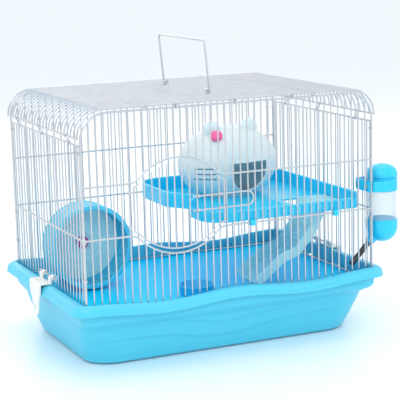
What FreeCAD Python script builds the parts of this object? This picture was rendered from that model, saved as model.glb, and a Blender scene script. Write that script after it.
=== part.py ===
import FreeCAD, Part
import math
import os
import Sketcher
from FreeCAD import Placement, Rotation, Vector

# Small wire pet cage on a moulded tray, in millimetres. X runs along the length,
# Y from the front (-Y) to the back, Z up. The origin is the centre of the tray's flat foot.

SIZES = {
    # wire cover
    "cage_length": 430.0,        # between the centre lines of the end panels
    "cage_width": 300.0,         # between the centre lines of the front and back panels
    "wire": 2.0,                 # bar diameter
    "rail": 2.6,                 # diameter of the frame wires
    "weld": 0.4,                 # how far crossed wires sink into each other
    "front_spaces": 40.0,        # gaps between bars along the length
    "side_spaces": 24.0,         # gaps between bars along the width
    "panel_gap": 3.2,            # spacing of two frame wires that are clipped together
    "mid_rail": 180.0,
    "upper_rail": 250.0,
    "side_top": 304.0,           # top rail of the end panels
    "roof_foot": 314.0,          # foot rail of the rounded roof ends
    "roof_top": 350.0,           # centre line of the roof wires
    "roof_bend": 36.0,           # bend radius of the roof wires
    "roof_overhang": 4.0,        # roof feet stand this far outside the end panels
    "roof_joint": 125.0,         # seam between the roof's middle and its ends, from the centre
    # tray
    "belly_step_end": 4.0,       # the tray's body sits this far inside its skirt, at the ends
    "belly_step_side": 10.0,     # and along the front and the back
    "belly_corner": 36.0,
    "foot_taper_end": 14.0,      # how far the ends of the body lean in on the way down to the foot
    "foot_taper_side": 19.0,
    "foot_corner": 44.0,
    "foot_rounding": 20.0,
    "skirt_corner": 18.0,
    "channel_corner": 6.0,
    "tray_wall": 2.5,
    "skirt_bottom": 63.0,
    "ledge": 71.0,               # shelf that the floor plate lies on; the cover stands on the plate
    "lip_top": 96.0,
    "lip_height": 14.0,
    "lip_wave": 7.0,             # dip of the wavy front and back lips
    "lip_reach_end": 20.0,       # lip beyond the wire plane, at the ends
    "lip_reach_side": 15.0,      # lip beyond the wire plane, front and back
    "lip_corner": 24.0,
    "cover_clearance": 3.5,      # wire plane to the tray's inner wall
    "running_gap": 0.3,          # clearance of pieces that move past each other
    "fit": 0.05,                 # radial clearance of a pin in its bore
    # floor plate
    "floor_thickness": 2.5,
    "floor_reach": 2.0,          # edge of the floor plate beyond the wire plane
    # front door
    "door_first": 6.0,           # number of the bar that the door hangs on
    "door_last": 19.0,           # number of the bar at its latch side
    "door_rise": 29.5,           # height of the curved top and of the matching curved bottom
    "door_blend": 20.0,          # small radius where the curve leaves the rail
    "door_margin": 6.5,          # gap between the door and its frame, wire centre to wire centre
    "knuckle_length": 5.0,
    "latch_wire": 2.2,
    "latch_spread": 19.0,        # between the two legs of the hairpin latch
    "latch_length": 80.0,
    "latch_overhang": 3.6,       # bar spacings that the hairpin reaches past the door
    # carry handle
    "handle_wire": 3.0,
    "handle_span": 160.0,
    "handle_height": 70.0,
    "handle_bend": 5.0,
    "handle_lean": 5.0,          # degrees towards -X at rest
    "eye_length": 6.0,
    "eye_wall": 1.8,
    # side latches
    "bar_length": 76.0,          # catch bar welded to the end panels
    "bar_height": 106.0,
    "latch_width": 46.0,
    "latch_drop": 46.0,          # how far the lever hangs below the shoulder
    "latch_plate": 3.0,
    # platform
    "deck_rise": 2.0,            # underside of the deck above the middle rail that carries it
    "deck_bottom": "=mid_rail + deck_rise",
    "deck_thickness": 2.5,
    "deck_wall": 22.0,
    "deck_front_wall": 14.0,
    "deck_from_wheel": 56.0,     # wheel's rim to the left edge of the deck
    "deck_from_right": 17.0,     # wire planes to the other edges of the deck
    "deck_from_front": 5.0,
    "deck_from_back": 22.0,
    "deck_waist": 30.0,          # how deep the left edge is drawn in behind the front lobe
    "deck_waist_run": 34.0,      # from the end of the front part to the waist
    "hatch_length": 62.0,        # opening where the ramp begins
    "hatch_width": 68.0,
    "hatch_from_right": 12.0,    # from the deck's right edge
    "hatch_from_front": 33.0,    # from the deck's front edge
    # house
    "house_from_left": 119.0,    # centre of the house, from the deck's left edge
    "house_from_front": 193.0,   # and from its front edge
    "house_turn": 2.0,           # degrees, so that the doorway looks a little to +X
    "house_half_length": 78.0,
    "house_half_width": 58.0,
    "house_half_height": 56.0,
    "house_sink": 47.0,          # centre of the dome above the deck
    "house_wall": 2.0,
    "doorway_width": 60.0,
    "doorway_straight": 16.0,    # straight sides above the round lower half
    "doorway_sill": 8.0,
    "ear_radius": 14.0,
    "plug_radius": 9.0,
    # ramp
    "ramp_width": 60.0,
    "ramp_wall": 2.0,
    "ramp_rail": 14.0,
    "ramp_lap": 8.0,             # how far the ramp's top shelf lies on the deck
    # wheel
    "wheel_side_gap": 5.0,       # rim to the plane of the left panel
    "wheel_front": 0.0,          # Y of the open side of the wheel
    "wheel_depth": 48.0,
    "wheel_radius": 60.0,
    "wheel_wall": 2.0,
    "wheel_lift": 3.0,           # gap between the wheel and the floor plate
    "hub_radius": 9.0,
    "axle": 5.0,
    # bottle
    "bottle_radius": 22.5,
    "bottle_gap": 5.5,           # bottle surface to the wire plane
    "bowl_bottom": 126.0,
    "bowl_top": 160.0,
    "body_top": 201.0,
    "band_top": 220.0,
    "dome_top": 239.0,
    "bottle_wall": 1.6,
    "spout": 8.0,
    "spout_wall": 1.0,
    "spout_length": 54.0,
    "spout_ball": 5.6,
    "holder_wall": 2.6,
    "holder_margin": 2.0,        # holder's edges inside the cap's band
    "screw": 3.0,
    # food dish
    "dish_from_deck": 4.0,       # centre of the dish, to the right of the deck's left edge
    "dish_from_front": 64.0,     # and from the front wire plane
    "dish_radius": 26.0,
    "dish_height": 14.0,
    "dish_wall": 2.0,
}

doc = FreeCAD.newDocument("hamster_cage")
sheet = doc.addObject("Spreadsheet::Sheet", "sizes")
for row, (alias, number) in enumerate(SIZES.items(), start=1):
    sheet.set(f"A{row}", alias)
    sheet.set(f"B{row}", str(number))
    sheet.setAlias(f"B{row}", alias)
doc.recompute()

X_AXIS = Vector(1, 0, 0)
Y_AXIS = Vector(0, 1, 0)
Z_AXIS = Vector(0, 0, 1)

parts = {}                       # node name -> finished document object


def size(expression):
    """Value of an expression on the sheet's aliases."""
    return float(sheet.evalExpression(expression))


# ---------------------------------------------------------------- sheet-driven places
length = size("cage_length")
width = size("cage_width")
wire = size("wire")
rail = size("rail")
front_pitch = length / size("front_spaces")
side_pitch = width / size("side_spaces")
gap = size("running_gap")
end_plane = length / 2
side_plane = width / 2
ledge = size("ledge")
floor_top = ledge + size("floor_thickness")
sill = floor_top + gap + rail / 2                    # centre of the cover's bottom rails
mid_rail = size("mid_rail")
upper_rail = size("upper_rail")
roof_top = size("roof_top")
roof_under = roof_top - (wire + rail) / 2 + size("weld")   # cross rails welded under the roof wires
panel_top = roof_under - rail - gap                  # top rail of the front and back panels
panel_bend = size("roof_bend")
door_left = -end_plane + size("door_first") * front_pitch
door_right = -end_plane + size("door_last") * front_pitch
door_centre = (door_left + door_right) / 2
deck_floor = size("deck_bottom") + size("deck_thickness")

# places of the pieces inside, as expressions that the sheet and the sketches both read
wheel_at = "( wheel_radius + wheel_side_gap - cage_length / 2 )"
deck_left_at = f"( {wheel_at} + wheel_radius + deck_from_wheel )"
deck_left = size(deck_left_at)
deck_right = end_plane - size("deck_from_right")
deck_front = size("deck_from_front") - side_plane
deck_back = side_plane - size("deck_from_back")
hatch_right = deck_right - size("hatch_from_right")
hatch_left = hatch_right - size("hatch_length")
hatch_front = deck_front + size("hatch_from_front")
hatch_back = hatch_front + size("hatch_width")


# ---------------------------------------------------------------- helpers: features
def finish(name, source):
    """Label a document object as the finished piece of that name."""
    source.Label = name
    parts[name] = source
    return source


def feature(name, shape):
    """A piece whose shape comes from Part's own functions."""
    source = doc.addObject("Part::Feature", name)
    source.Shape = shape
    return finish(name, source)


def bound(kind, name, **expressions):
    """A Part primitive with its properties bound to the sheet."""
    source = doc.addObject(kind, name)
    for prop, expression in expressions.items():
        source.setExpression(prop, expression)
    return source


def place(source, x="0", y="0", z="0"):
    """Bind the position of an object to the sheet."""
    for axis, expression in zip("xyz", (x, y, z)):
        source.setExpression(f".Placement.Base.{axis}", expression)
    return source


def cut(name, base, tool):
    result = doc.addObject("Part::Cut", name)
    result.Base = base
    result.Tool = tool
    return result


def fuse(name, *sources):
    result = doc.addObject("Part::MultiFuse", name)
    result.Shapes = list(sources)
    return result


def common(name, base, tool):
    result = doc.addObject("Part::Common", name)
    result.Base = base
    result.Tool = tool
    return result


# ---------------------------------------------------------------- helpers: sketches
def new_body(name):
    body = doc.addObject("PartDesign::Body", name)
    body.Label = name
    return body


def sketch_on(body, role, name, offset="0"):
    """A sketch on one of the body's origin planes, moved along the plane's normal."""
    plane = [item for item in body.Origin.OriginFeatures if item.Role == role][0]
    sketch = body.newObject("Sketcher::SketchObject", name)
    sketch.AttachmentSupport = (plane, [""])
    sketch.MapMode = "FlatFace"
    sketch.setExpression(".AttachmentOffset.Base.z", offset)
    return sketch


def drive(sketch, constraint, expression):
    """Add a constraint and bind its value to the sheet."""
    index = sketch.addConstraint(constraint)
    sketch.setExpression(f"Constraints[{index}]", expression)


def scoped(expression):
    """The same expression as seen from outside the sheet."""
    words = []
    for word in expression.replace("(", " ( ").replace(")", " ) ").split():
        words.append(f"sizes.{word}" if word in SIZES else word)
    return " ".join(words)


def pin(sketch, geometry, point, x, y):
    """Hold a point of the sketch at two expressions, whatever their signs."""
    for kind, axis, expression in (("DistanceX", -2, x), ("DistanceY", -1, y)):
        number = size(expression)
        if abs(number) < 1e-9:
            sketch.addConstraint(Sketcher.Constraint("PointOnObject", geometry, point, axis))
        elif number > 0:
            drive(sketch, Sketcher.Constraint(kind, -1, 1, geometry, point, number), scoped(expression))
        else:
            flipped = scoped(f"0 - ( {expression} )")
            drive(sketch, Sketcher.Constraint(kind, geometry, point, -1, 1, -number), flipped)


def circle(sketch, x, y, diameter):
    centre = Vector(size(x), size(y), 0)
    index = sketch.addGeometry(Part.Circle(centre, Z_AXIS, size(diameter) / 2), False)
    drive(sketch, Sketcher.Constraint("Diameter", index, size(diameter)), scoped(diameter))
    pin(sketch, index, 3, x, y)
    return index


def rounded_rectangle(sketch, long_side, short_side, corner):
    """A centred rectangle with four equal round corners."""
    a = size(long_side) / 2
    b = size(short_side) / 2
    r = size(corner)
    corners = [(a - r, -b + r), (a - r, b - r), (-a + r, b - r), (-a + r, -b + r)]
    ends = [(-a + r, -b), (a - r, -b), (a, -b + r), (a, b - r),
            (a - r, b), (-a + r, b), (-a, b - r), (-a, -b + r)]
    lines = []
    arcs = []
    for side in range(4):
        start = Vector(*ends[2 * side], 0)
        stop = Vector(*ends[2 * side + 1], 0)
        lines.append(sketch.addGeometry(Part.LineSegment(start, stop), False))
        whole = Part.Circle(Vector(*corners[side], 0), Z_AXIS, r)
        turn = -math.pi / 2 + side * math.pi / 2
        arcs.append(sketch.addGeometry(Part.ArcOfCircle(whole, turn, turn + math.pi / 2), False))
    for side in range(4):
        sketch.addConstraint(Sketcher.Constraint("Tangent", lines[side], 2, arcs[side], 1))
        sketch.addConstraint(Sketcher.Constraint("Tangent", arcs[side], 2, lines[(side + 1) % 4], 1))
        straight = "Horizontal" if side % 2 == 0 else "Vertical"
        sketch.addConstraint(Sketcher.Constraint(straight, lines[side]))
    for side in range(1, 4):
        sketch.addConstraint(Sketcher.Constraint("Equal", arcs[0], arcs[side]))
    drive(sketch, Sketcher.Constraint("Radius", arcs[0], r), scoped(corner))
    drive(sketch, Sketcher.Constraint("DistanceX", lines[3], 1, lines[1], 1, 2 * a), scoped(long_side))
    drive(sketch, Sketcher.Constraint("DistanceY", lines[0], 1, lines[2], 1, 2 * b), scoped(short_side))
    sketch.addConstraint(Sketcher.Constraint("Symmetric", arcs[0], 3, arcs[2], 3, -1, 1))


def outline(sketch, points):
    """A closed polygon whose corners are pairs of expressions."""
    where = [Vector(size(x), size(y), 0) for x, y in points]
    count = len(where)
    edges = [sketch.addGeometry(Part.LineSegment(where[i], where[(i + 1) % count]), False)
             for i in range(count)]
    for i in range(count):
        sketch.addConstraint(Sketcher.Constraint("Coincident", edges[i], 2, edges[(i + 1) % count], 1))
        pin(sketch, edges[i], 1, *points[i])


def pad(body, sketch, name, depth, both_ways=False, reverse=False):
    result = body.newObject("PartDesign::Pad", name)
    result.Profile = sketch
    result.setExpression("Length", scoped(depth))
    result.Midplane = both_ways
    result.Reversed = reverse
    return result


def pocket(body, sketch, name, depth, both_ways=False, reverse=False):
    result = body.newObject("PartDesign::Pocket", name)
    result.Profile = sketch
    result.setExpression("Length", scoped(depth))
    result.Midplane = both_ways
    result.Reversed = reverse
    return result


def loft(body, kind, name, first, *others):
    result = body.newObject(f"PartDesign::{kind}", name)
    result.Profile = first
    result.Sections = list(others)
    result.Ruled = True
    return result


def turned(body, sketch, name, kind="Revolution", vertical=True):
    """Turn a profile a full circle round the sketch's own vertical or horizontal axis."""
    result = body.newObject(f"PartDesign::{kind}", name)
    result.Profile = sketch
    result.ReferenceAxis = (sketch, ["V_Axis" if vertical else "H_Axis"])
    result.Angle = 360
    return result


# ---------------------------------------------------------------- helpers: wires
def fillet_path(points, radii):
    """A wire through the points, with a tangent arc of the given radius at each inner one."""
    edges = []
    cursor = points[0]
    for i in range(1, len(points) - 1):
        before = (points[i - 1] - points[i]).normalize()
        after = (points[i + 1] - points[i]).normalize()
        opening = before.getAngle(after)
        radius = radii[i - 1]
        reach = radius / math.tan(opening / 2)
        start = points[i] + before * reach
        stop = points[i] + after * reach
        centre = points[i] + (before + after).normalize() * (radius / math.sin(opening / 2))
        middle = centre + (points[i] - centre).normalize() * radius
        if (start - cursor).Length > 1e-6:
            edges.append(Part.LineSegment(cursor, start).toShape())
        edges.append(Part.Arc(start, middle, stop).toShape())
        cursor = stop
    edges.append(Part.LineSegment(cursor, points[-1]).toShape())
    return Part.Wire(edges)


def sweep(path, diameter):
    """A round wire along a path of tangent lines and arcs."""
    first = path.Edges[0]
    start = first.valueAt(first.FirstParameter)
    tangent = first.tangentAt(first.FirstParameter)
    profile = Part.Wire([Part.makeCircle(diameter / 2, start, tangent)])
    return path.makePipeShell([profile], True, True)


def bar(start, stop, diameter):
    run = stop - start
    return Part.makeCylinder(diameter / 2, run.Length, start, run)


def tube(start, stop, outer, bore):
    return bar(start, stop, outer).cut(bar(start, stop, bore))


def welded(pieces):
    """One solid from crossing wires."""
    shape = pieces[0].multiFuse(pieces[1:])
    if len(shape.Solids) != 1:
        raise ValueError(f"a welded panel came out as {len(shape.Solids)} solids")
    return shape.Solids[0]


def bowed(x, level, direction, margin=0.0):
    """Height of the door frame's curve at x: direction +1 for the arch, -1 for the dip."""
    half = (door_right - door_left) / 2
    rise = size("door_rise")
    blend = size("door_blend")
    turn = 2 * math.atan(rise / half)
    crown = half / math.sin(turn) - blend
    off = abs(x - door_centre)
    if off >= half:
        lift = 0.0
    elif off > crown * math.sin(turn):
        lift = blend - math.sqrt(blend ** 2 - (half - off) ** 2)
    else:
        lift = rise - crown + math.sqrt(crown ** 2 - off ** 2)
    return level + direction * (lift - margin)


def bow_path(y, level, direction, start, stop):
    """A rail with the door curve in it, from start to stop along X."""
    half = (door_right - door_left) / 2
    rise = size("door_rise") * direction
    blend = size("door_blend")
    turn = 2 * math.atan(size("door_rise") / half)
    crown = half / math.sin(turn) - blend
    knee = crown * math.sin(turn)
    knee_lift = bowed(door_centre + knee, level, direction)
    half_turn = turn / 2
    swing = blend * math.sin(half_turn)
    lift = direction * blend * (1 - math.cos(half_turn))
    left_end = Vector(door_left, y, level)
    left_turn = Vector(door_left + swing, y, level + lift)
    left_knee = Vector(door_centre - knee, y, knee_lift)
    top = Vector(door_centre, y, level + rise)
    right_knee = Vector(door_centre + knee, y, knee_lift)
    right_turn = Vector(door_right - swing, y, level + lift)
    right_end = Vector(door_right, y, level)
    edges = []
    if start < door_left:
        edges.append(Part.LineSegment(Vector(start, y, level), left_end).toShape())
    edges.append(Part.Arc(left_end, left_turn, left_knee).toShape())
    edges.append(Part.Arc(left_knee, top, right_knee).toShape())
    edges.append(Part.Arc(right_knee, right_turn, right_end).toShape())
    if stop > door_right:
        edges.append(Part.LineSegment(right_end, Vector(stop, y, level)).toShape())
    return Part.Wire(edges)


# ---------------------------------------------------------------- tray
def lip_wave(x):
    """Height of the wavy top edge of the front and back lips."""
    dip = size("lip_wave") / 2
    return size("lip_top") - dip * (1 - math.cos(2 * math.pi * x / end_plane))


def wave_prism(below, top, bottom_edge):
    """Everything between the wavy line lowered by `below` and a level, through the whole tray."""
    reach = end_plane + 2 * size("lip_reach_end")
    steps = 24
    xs = [-end_plane + 2 * end_plane * i / steps for i in range(steps + 1)]
    curve = Part.BSplineCurve()
    curve.interpolate([Vector(x, 0, lip_wave(x) - below) for x in xs])
    edge_level = size("lip_top") - below
    level = bottom_edge if bottom_edge is not None else top
    corners = [Vector(-reach, 0, edge_level), Vector(-reach, 0, level),
               Vector(reach, 0, level), Vector(reach, 0, edge_level)]
    edges = [Part.LineSegment(Vector(-end_plane, 0, edge_level), corners[0]).toShape()]
    edges += [Part.LineSegment(corners[i], corners[i + 1]).toShape() for i in range(3)]
    edges.append(Part.LineSegment(corners[3], Vector(end_plane, 0, edge_level)).toShape())
    edges.append(curve.toShape())
    depth = 2 * (side_plane + 2 * size("lip_reach_side"))
    prism = Part.Face(Part.Wire(Part.__sortEdges__(edges))).extrude(Vector(0, depth, 0))
    prism.translate(Vector(0, -depth / 2, 0))
    return prism


def build_tray():
    body = new_body("tray_blank")
    # (level, inset) of the steps that round off the foot, as shares of its rounding radius
    rounding = (("0", "0.6"), ("0.15", "0.25"), ("0.5", "0"))
    outer = "cage_length + 2 * cover_clearance + 2 * tray_wall"
    outer_side = "cage_width + 2 * cover_clearance + 2 * tray_wall"
    belly = f"{outer} - 2 * belly_step_end"
    belly_side = f"{outer_side} - 2 * belly_step_side"

    def section(name, level, inset):
        sketch = sketch_on(body, "XY_Plane", name, scoped(level))
        rounded_rectangle(sketch, f"{belly} - 2 * foot_taper_end - 2 * ( {inset} )",
                          f"{belly_side} - 2 * foot_taper_side - 2 * ( {inset} )",
                          f"foot_corner - ( {inset} )")
        return sketch

    outside = [section(f"foot_{number}", f"{level} * foot_rounding", f"{inset} * foot_rounding")
               for number, (level, inset) in enumerate(rounding)]
    shoulder = sketch_on(body, "XY_Plane", "belly_outline", scoped("skirt_bottom"))
    rounded_rectangle(shoulder, belly, belly_side, "belly_corner")
    loft(body, "AdditiveLoft", "tray_belly", *outside, shoulder)

    skirt = sketch_on(body, "XY_Plane", "skirt_outline", scoped("skirt_bottom"))
    rounded_rectangle(skirt, outer, outer_side, "skirt_corner")
    pad(body, skirt, "tray_skirt", "lip_top - skirt_bottom")
    lip = sketch_on(body, "XY_Plane", "lip_outline", scoped("lip_top - lip_height - lip_wave - tray_wall"))
    rounded_rectangle(lip, "cage_length + 2 * lip_reach_end", "cage_width + 2 * lip_reach_side",
                      "lip_corner")
    pad(body, lip, "tray_lip", "lip_height + lip_wave + tray_wall")

    inside = [section(f"cavity_{number}", f"{level} * foot_rounding + tray_wall",
                      f"{inset} * foot_rounding + tray_wall")
              for number, (level, inset) in enumerate(rounding)]
    mouth = sketch_on(body, "XY_Plane", "cavity_mouth", scoped("ledge"))
    rounded_rectangle(mouth, f"{belly} - 2 * tray_wall", f"{belly_side} - 2 * tray_wall",
                      "belly_corner - tray_wall")
    loft(body, "SubtractiveLoft", "tray_cavity", *inside, mouth)
    channel = sketch_on(body, "XY_Plane", "channel_outline", scoped("lip_top"))
    rounded_rectangle(channel, "cage_length + 2 * cover_clearance", "cage_width + 2 * cover_clearance",
                      "channel_corner")
    body.Tip = pocket(body, channel, "cover_channel", "lip_top - ledge")
    doc.recompute()

    above = wave_prism(0.0, size("lip_top") + size("lip_height"), None)
    beneath = wave_prism(size("lip_height"), 0.0, size("skirt_bottom") / 2)
    kept = Part.makeBox(size(outer), size(outer_side), size("lip_top"),
                        Vector(-size(outer) / 2, -size(outer_side) / 2, 0))
    tool = doc.addObject("Part::Feature", "lip_wave_cutter")
    tool.Shape = Part.Compound([above, beneath.cut(kept)])
    finish("base_tray", cut("tray_with_wavy_lip", body, tool))


def build_floor():
    body = new_body("floor_plate_body")
    plate = sketch_on(body, "XY_Plane", "floor_outline", scoped("ledge"))
    rounded_rectangle(plate, "cage_length + 2 * floor_reach", "cage_width + 2 * floor_reach",
                      "skirt_corner")
    pad(body, plate, "floor_plate_pad", "floor_thickness")
    finish("floor_plate", body)


# ---------------------------------------------------------------- wire panels
def panel_height(x):
    """Top of a front or back bar: the frame's top rail, or its bend near the ends."""
    off = abs(x) - (end_plane - panel_bend)
    if off <= 0:
        return panel_top
    return panel_top - panel_bend + math.sqrt(max(panel_bend ** 2 - off ** 2, 0.0))


def frame_half(y, side, inner):
    """The frame wire of one end of a front or back panel, from x = inner round to x = inner."""
    corner = side * end_plane
    points = [Vector(inner, y, sill), Vector(corner, y, sill),
              Vector(corner, y, panel_top), Vector(inner, y, panel_top)]
    return sweep(fillet_path(points, [rail, panel_bend]), rail)


def upright(x, y, low, high, diameter):
    return bar(Vector(x, y, low), Vector(x, y, high), diameter)


def front_bar(number):
    return -end_plane + number * front_pitch


def build_front():
    y = -side_plane
    bars = int(size("front_spaces"))
    first = int(size("door_first"))
    last = int(size("door_last"))

    def side_panel(side, numbers, inner):
        pieces = [frame_half(y, side, inner)]
        pieces += [upright(front_bar(i), y, sill, panel_height(front_bar(i)), wire) for i in numbers]
        for level in (mid_rail, upper_rail):
            pieces.append(bar(Vector(side * end_plane, y, level), Vector(inner, y, level), rail))
        return welded(pieces)

    left = side_panel(-1, range(1, first + 1), door_left)
    right = side_panel(1, range(last, bars), door_right)
    middle = range(first + 1, last)

    top_rail = bar(Vector(door_left, y, panel_top), Vector(door_right, y, panel_top), rail)
    arch = sweep(bow_path(y, upper_rail, 1, door_left, door_right), rail)
    rods = [upright(front_bar(i), y, bowed(front_bar(i), upper_rail, 1), panel_top, wire) for i in middle]
    above = welded([top_rail, arch] + rods).cut(left).cut(right)

    low_rail = bar(Vector(door_left, y, sill), Vector(door_right, y, sill), rail)
    dip = sweep(bow_path(y, mid_rail, -1, door_left, door_right), rail)
    rods = [upright(front_bar(i), y, sill, bowed(front_bar(i), mid_rail, -1), wire) for i in middle]
    below = welded([low_rail, dip] + rods).cut(left).cut(right)

    feature("front_panel_left", left)
    feature("front_panel_right", right)
    feature("front_panel_above", above)
    feature("front_panel_below", below)


def build_back():
    y = side_plane
    bars = int(size("front_spaces"))
    pieces = [frame_half(y, -1, 0.0), frame_half(y, 1, 0.0)]
    pieces += [upright(front_bar(i), y, sill, panel_height(front_bar(i)), wire) for i in range(1, bars)]
    for level in (mid_rail, upper_rail):
        pieces.append(bar(Vector(-end_plane, y, level), Vector(end_plane, y, level), rail))
    feature("back_panel", welded(pieces))


def build_end(name, sign):
    """One flat end panel: two frame uprights, three rails, a row of bars and the catch bar."""
    body = new_body(f"{name}_body")
    x = f"{sign} * cage_length / 2"
    low = "ledge + floor_thickness + running_gap + rail / 2"
    edge = "cage_width / 2 - panel_gap"
    posts = sketch_on(body, "XY_Plane", f"{name}_posts", scoped(low))
    circle(posts, x, f"0 - ( {edge} )", "rail")
    circle(posts, x, edge, "rail")
    pad(body, posts, f"{name}_post_pad", f"side_top - ( {low} )")
    rails = sketch_on(body, "XZ_Plane", f"{name}_rails")
    for level in (low, "mid_rail", "side_top"):
        circle(rails, x, level, "rail")
    pad(body, rails, f"{name}_rail_pad", "cage_width - 2 * panel_gap", both_ways=True)
    bars = sketch_on(body, "XY_Plane", f"{name}_first_bar", scoped(low))
    circle(bars, x, "cage_width / side_spaces - cage_width / 2", "wire")
    first = pad(body, bars, f"{name}_bar_pad", f"side_top - ( {low} )")
    row = body.newObject("PartDesign::LinearPattern", f"{name}_bar_row")
    row.Originals = [first]
    row.Direction = (bars, ["V_Axis"])
    row.setExpression("Length", scoped("cage_width - 2 * cage_width / side_spaces"))
    row.setExpression("Occurrences", scoped("side_spaces - 1"))
    body.Tip = row
    catch = sketch_on(body, "XZ_Plane", f"{name}_catch")
    circle(catch, f"{x} + {sign} * ( wire / 2 + rail / 2 - weld )", "bar_height", "rail")
    body.Tip = pad(body, catch, f"{name}_catch_pad", "bar_length", both_ways=True)
    finish(name, body)


def build_roof():
    foot_x = end_plane + size("roof_overhang")
    foot = size("roof_foot")
    bend = size("roof_bend")
    joint = size("roof_joint")
    seam = size("panel_gap") / 2                     # half the spacing of the twin rails
    rows = int(size("side_spaces"))

    def cross_rail(x):
        return bar(Vector(x, -side_plane, roof_under), Vector(x, side_plane, roof_under), rail)

    def gauge(k):
        return rail if k in (0, rows) else wire

    for name, side in (("left", -1), ("right", 1)):
        curved = [bar(Vector(side * foot_x, -side_plane, foot),
                      Vector(side * foot_x, side_plane, foot), rail)]
        flat = [cross_rail(side * (joint + seam))]
        shoulder = side * (foot_x - bend)
        for k in range(rows + 1):
            y = -side_plane + k * side_pitch
            middle = Vector(side * (foot_x - bend * (1 - math.sqrt(0.5))), y,
                            roof_top - bend * (1 - math.sqrt(0.5)))
            riser = roof_top - bend
            low_end = Vector(side * foot_x, y, foot - rail / 2)
            bend_start = Vector(side * foot_x, y, riser)
            bend_end = Vector(shoulder, y, roof_top)
            edges = [Part.LineSegment(low_end, bend_start).toShape(),
                     Part.Arc(bend_start, middle, bend_end).toShape()]
            curved.append(sweep(Part.Wire(edges), gauge(k)))
            flat.append(bar(bend_end, Vector(side * (joint + gap), y, roof_top), gauge(k)))
        feature(f"roof_{name}_bend", welded(curved))
        feature(f"roof_{name}_flat", welded(flat))

    axle = roof_top + (wire + size("handle_wire")) / 2 + size("eye_wall") + size("fit")
    span = size("handle_span") / 2 - size("handle_wire")
    eye = size("eye_length")
    bore = size("handle_wire") + 2 * size("fit")
    outer = bore + 2 * size("eye_wall")
    pieces = [cross_rail(-(joint - seam)), cross_rail(joint - seam), cross_rail(0.0)]
    for k in range(rows + 1):
        y = -side_plane + k * side_pitch
        pieces.append(bar(Vector(gap - joint, y, roof_top), Vector(joint - gap, y, roof_top), gauge(k)))
    grid = welded(pieces)
    for end in (-1, 1):
        start = Vector(0, end * span, axle)
        stop = Vector(0, end * (span - eye), axle)
        ring = bar(start, stop, outer)
        low = Vector(-rail / 2, min(start.y, stop.y), roof_under)
        stem = Part.makeBox(rail, eye, axle - roof_under, low)
        hole = bar(Vector(0, end * side_plane, axle), Vector(0, 0, axle), bore)
        grid = grid.fuse(ring.fuse(stem)).cut(hole)
    feature("roof_middle", grid.Solids[0])

    reach = size("handle_span") / 2
    pin_end = span - eye - 2 * size("fit") - 1
    height = size("handle_height")
    points = [Vector(0, -pin_end, 0), Vector(0, -reach, 0), Vector(0, -reach, height),
              Vector(0, reach, height), Vector(0, reach, 0), Vector(0, pin_end, 0)]
    tight = size("handle_wire") * 0.6
    round_corner = size("handle_bend")
    bail = sweep(fillet_path(points, [tight, round_corner, round_corner, tight]), size("handle_wire"))
    bail.rotate(Vector(0, 0, 0), Y_AXIS, -size("handle_lean"))
    bail.translate(Vector(0, 0, axle))
    feature("carry_handle", bail)


def band(first, second, along, rod):
    """A bent sheet clip round two parallel wires."""
    across = (second - first).normalize()
    rise = along.cross(across)
    hold = rod / 2 + size("fit")

    def loop(radius):
        out = across * radius
        over = rise * radius
        edges = [Part.LineSegment(first + over, second + over).toShape(),
                 Part.Arc(second + over, second + out, second - over).toShape(),
                 Part.LineSegment(second - over, first - over).toShape(),
                 Part.Arc(first - over, first - out, first + over).toShape()]
        return Part.Face(Part.Wire(edges))

    sheet_metal = 0.8
    wide = 3.0
    ring = loop(hold + sheet_metal).cut(loop(hold)).extrude(along * wide)
    ring.translate(along * (-wide / 2))
    return ring.Solids[0]


def build_clips():
    clips = []
    half = front_pitch / 2
    for y in (-side_plane, side_plane):
        for x in (half, half - 8 * front_pitch, half + 8 * front_pitch):
            clips.append(band(Vector(x, y, panel_top), Vector(x, y, roof_top), X_AXIS, rail))
    foot_x = end_plane + size("roof_overhang")
    beside = side_plane - size("panel_gap")
    for side in (-1, 1):
        for y in (-8.5 * side_pitch, 0.5 * side_pitch, 8.5 * side_pitch):
            low = Vector(side * end_plane, y, size("side_top"))
            clips.append(band(low, Vector(side * foot_x, y, size("roof_foot")), Y_AXIS, rail))
        for end in (-1, 1):
            for z in (mid_rail / 2 + sill / 2, mid_rail - 4 * rail, size("side_top") - 4 * rail):
                post = Vector(side * end_plane, end * beside, z)
                clips.append(band(post, Vector(side * end_plane, end * side_plane, z), Z_AXIS, rail))
    feature("panel_clips", Part.Compound(clips))


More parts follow.
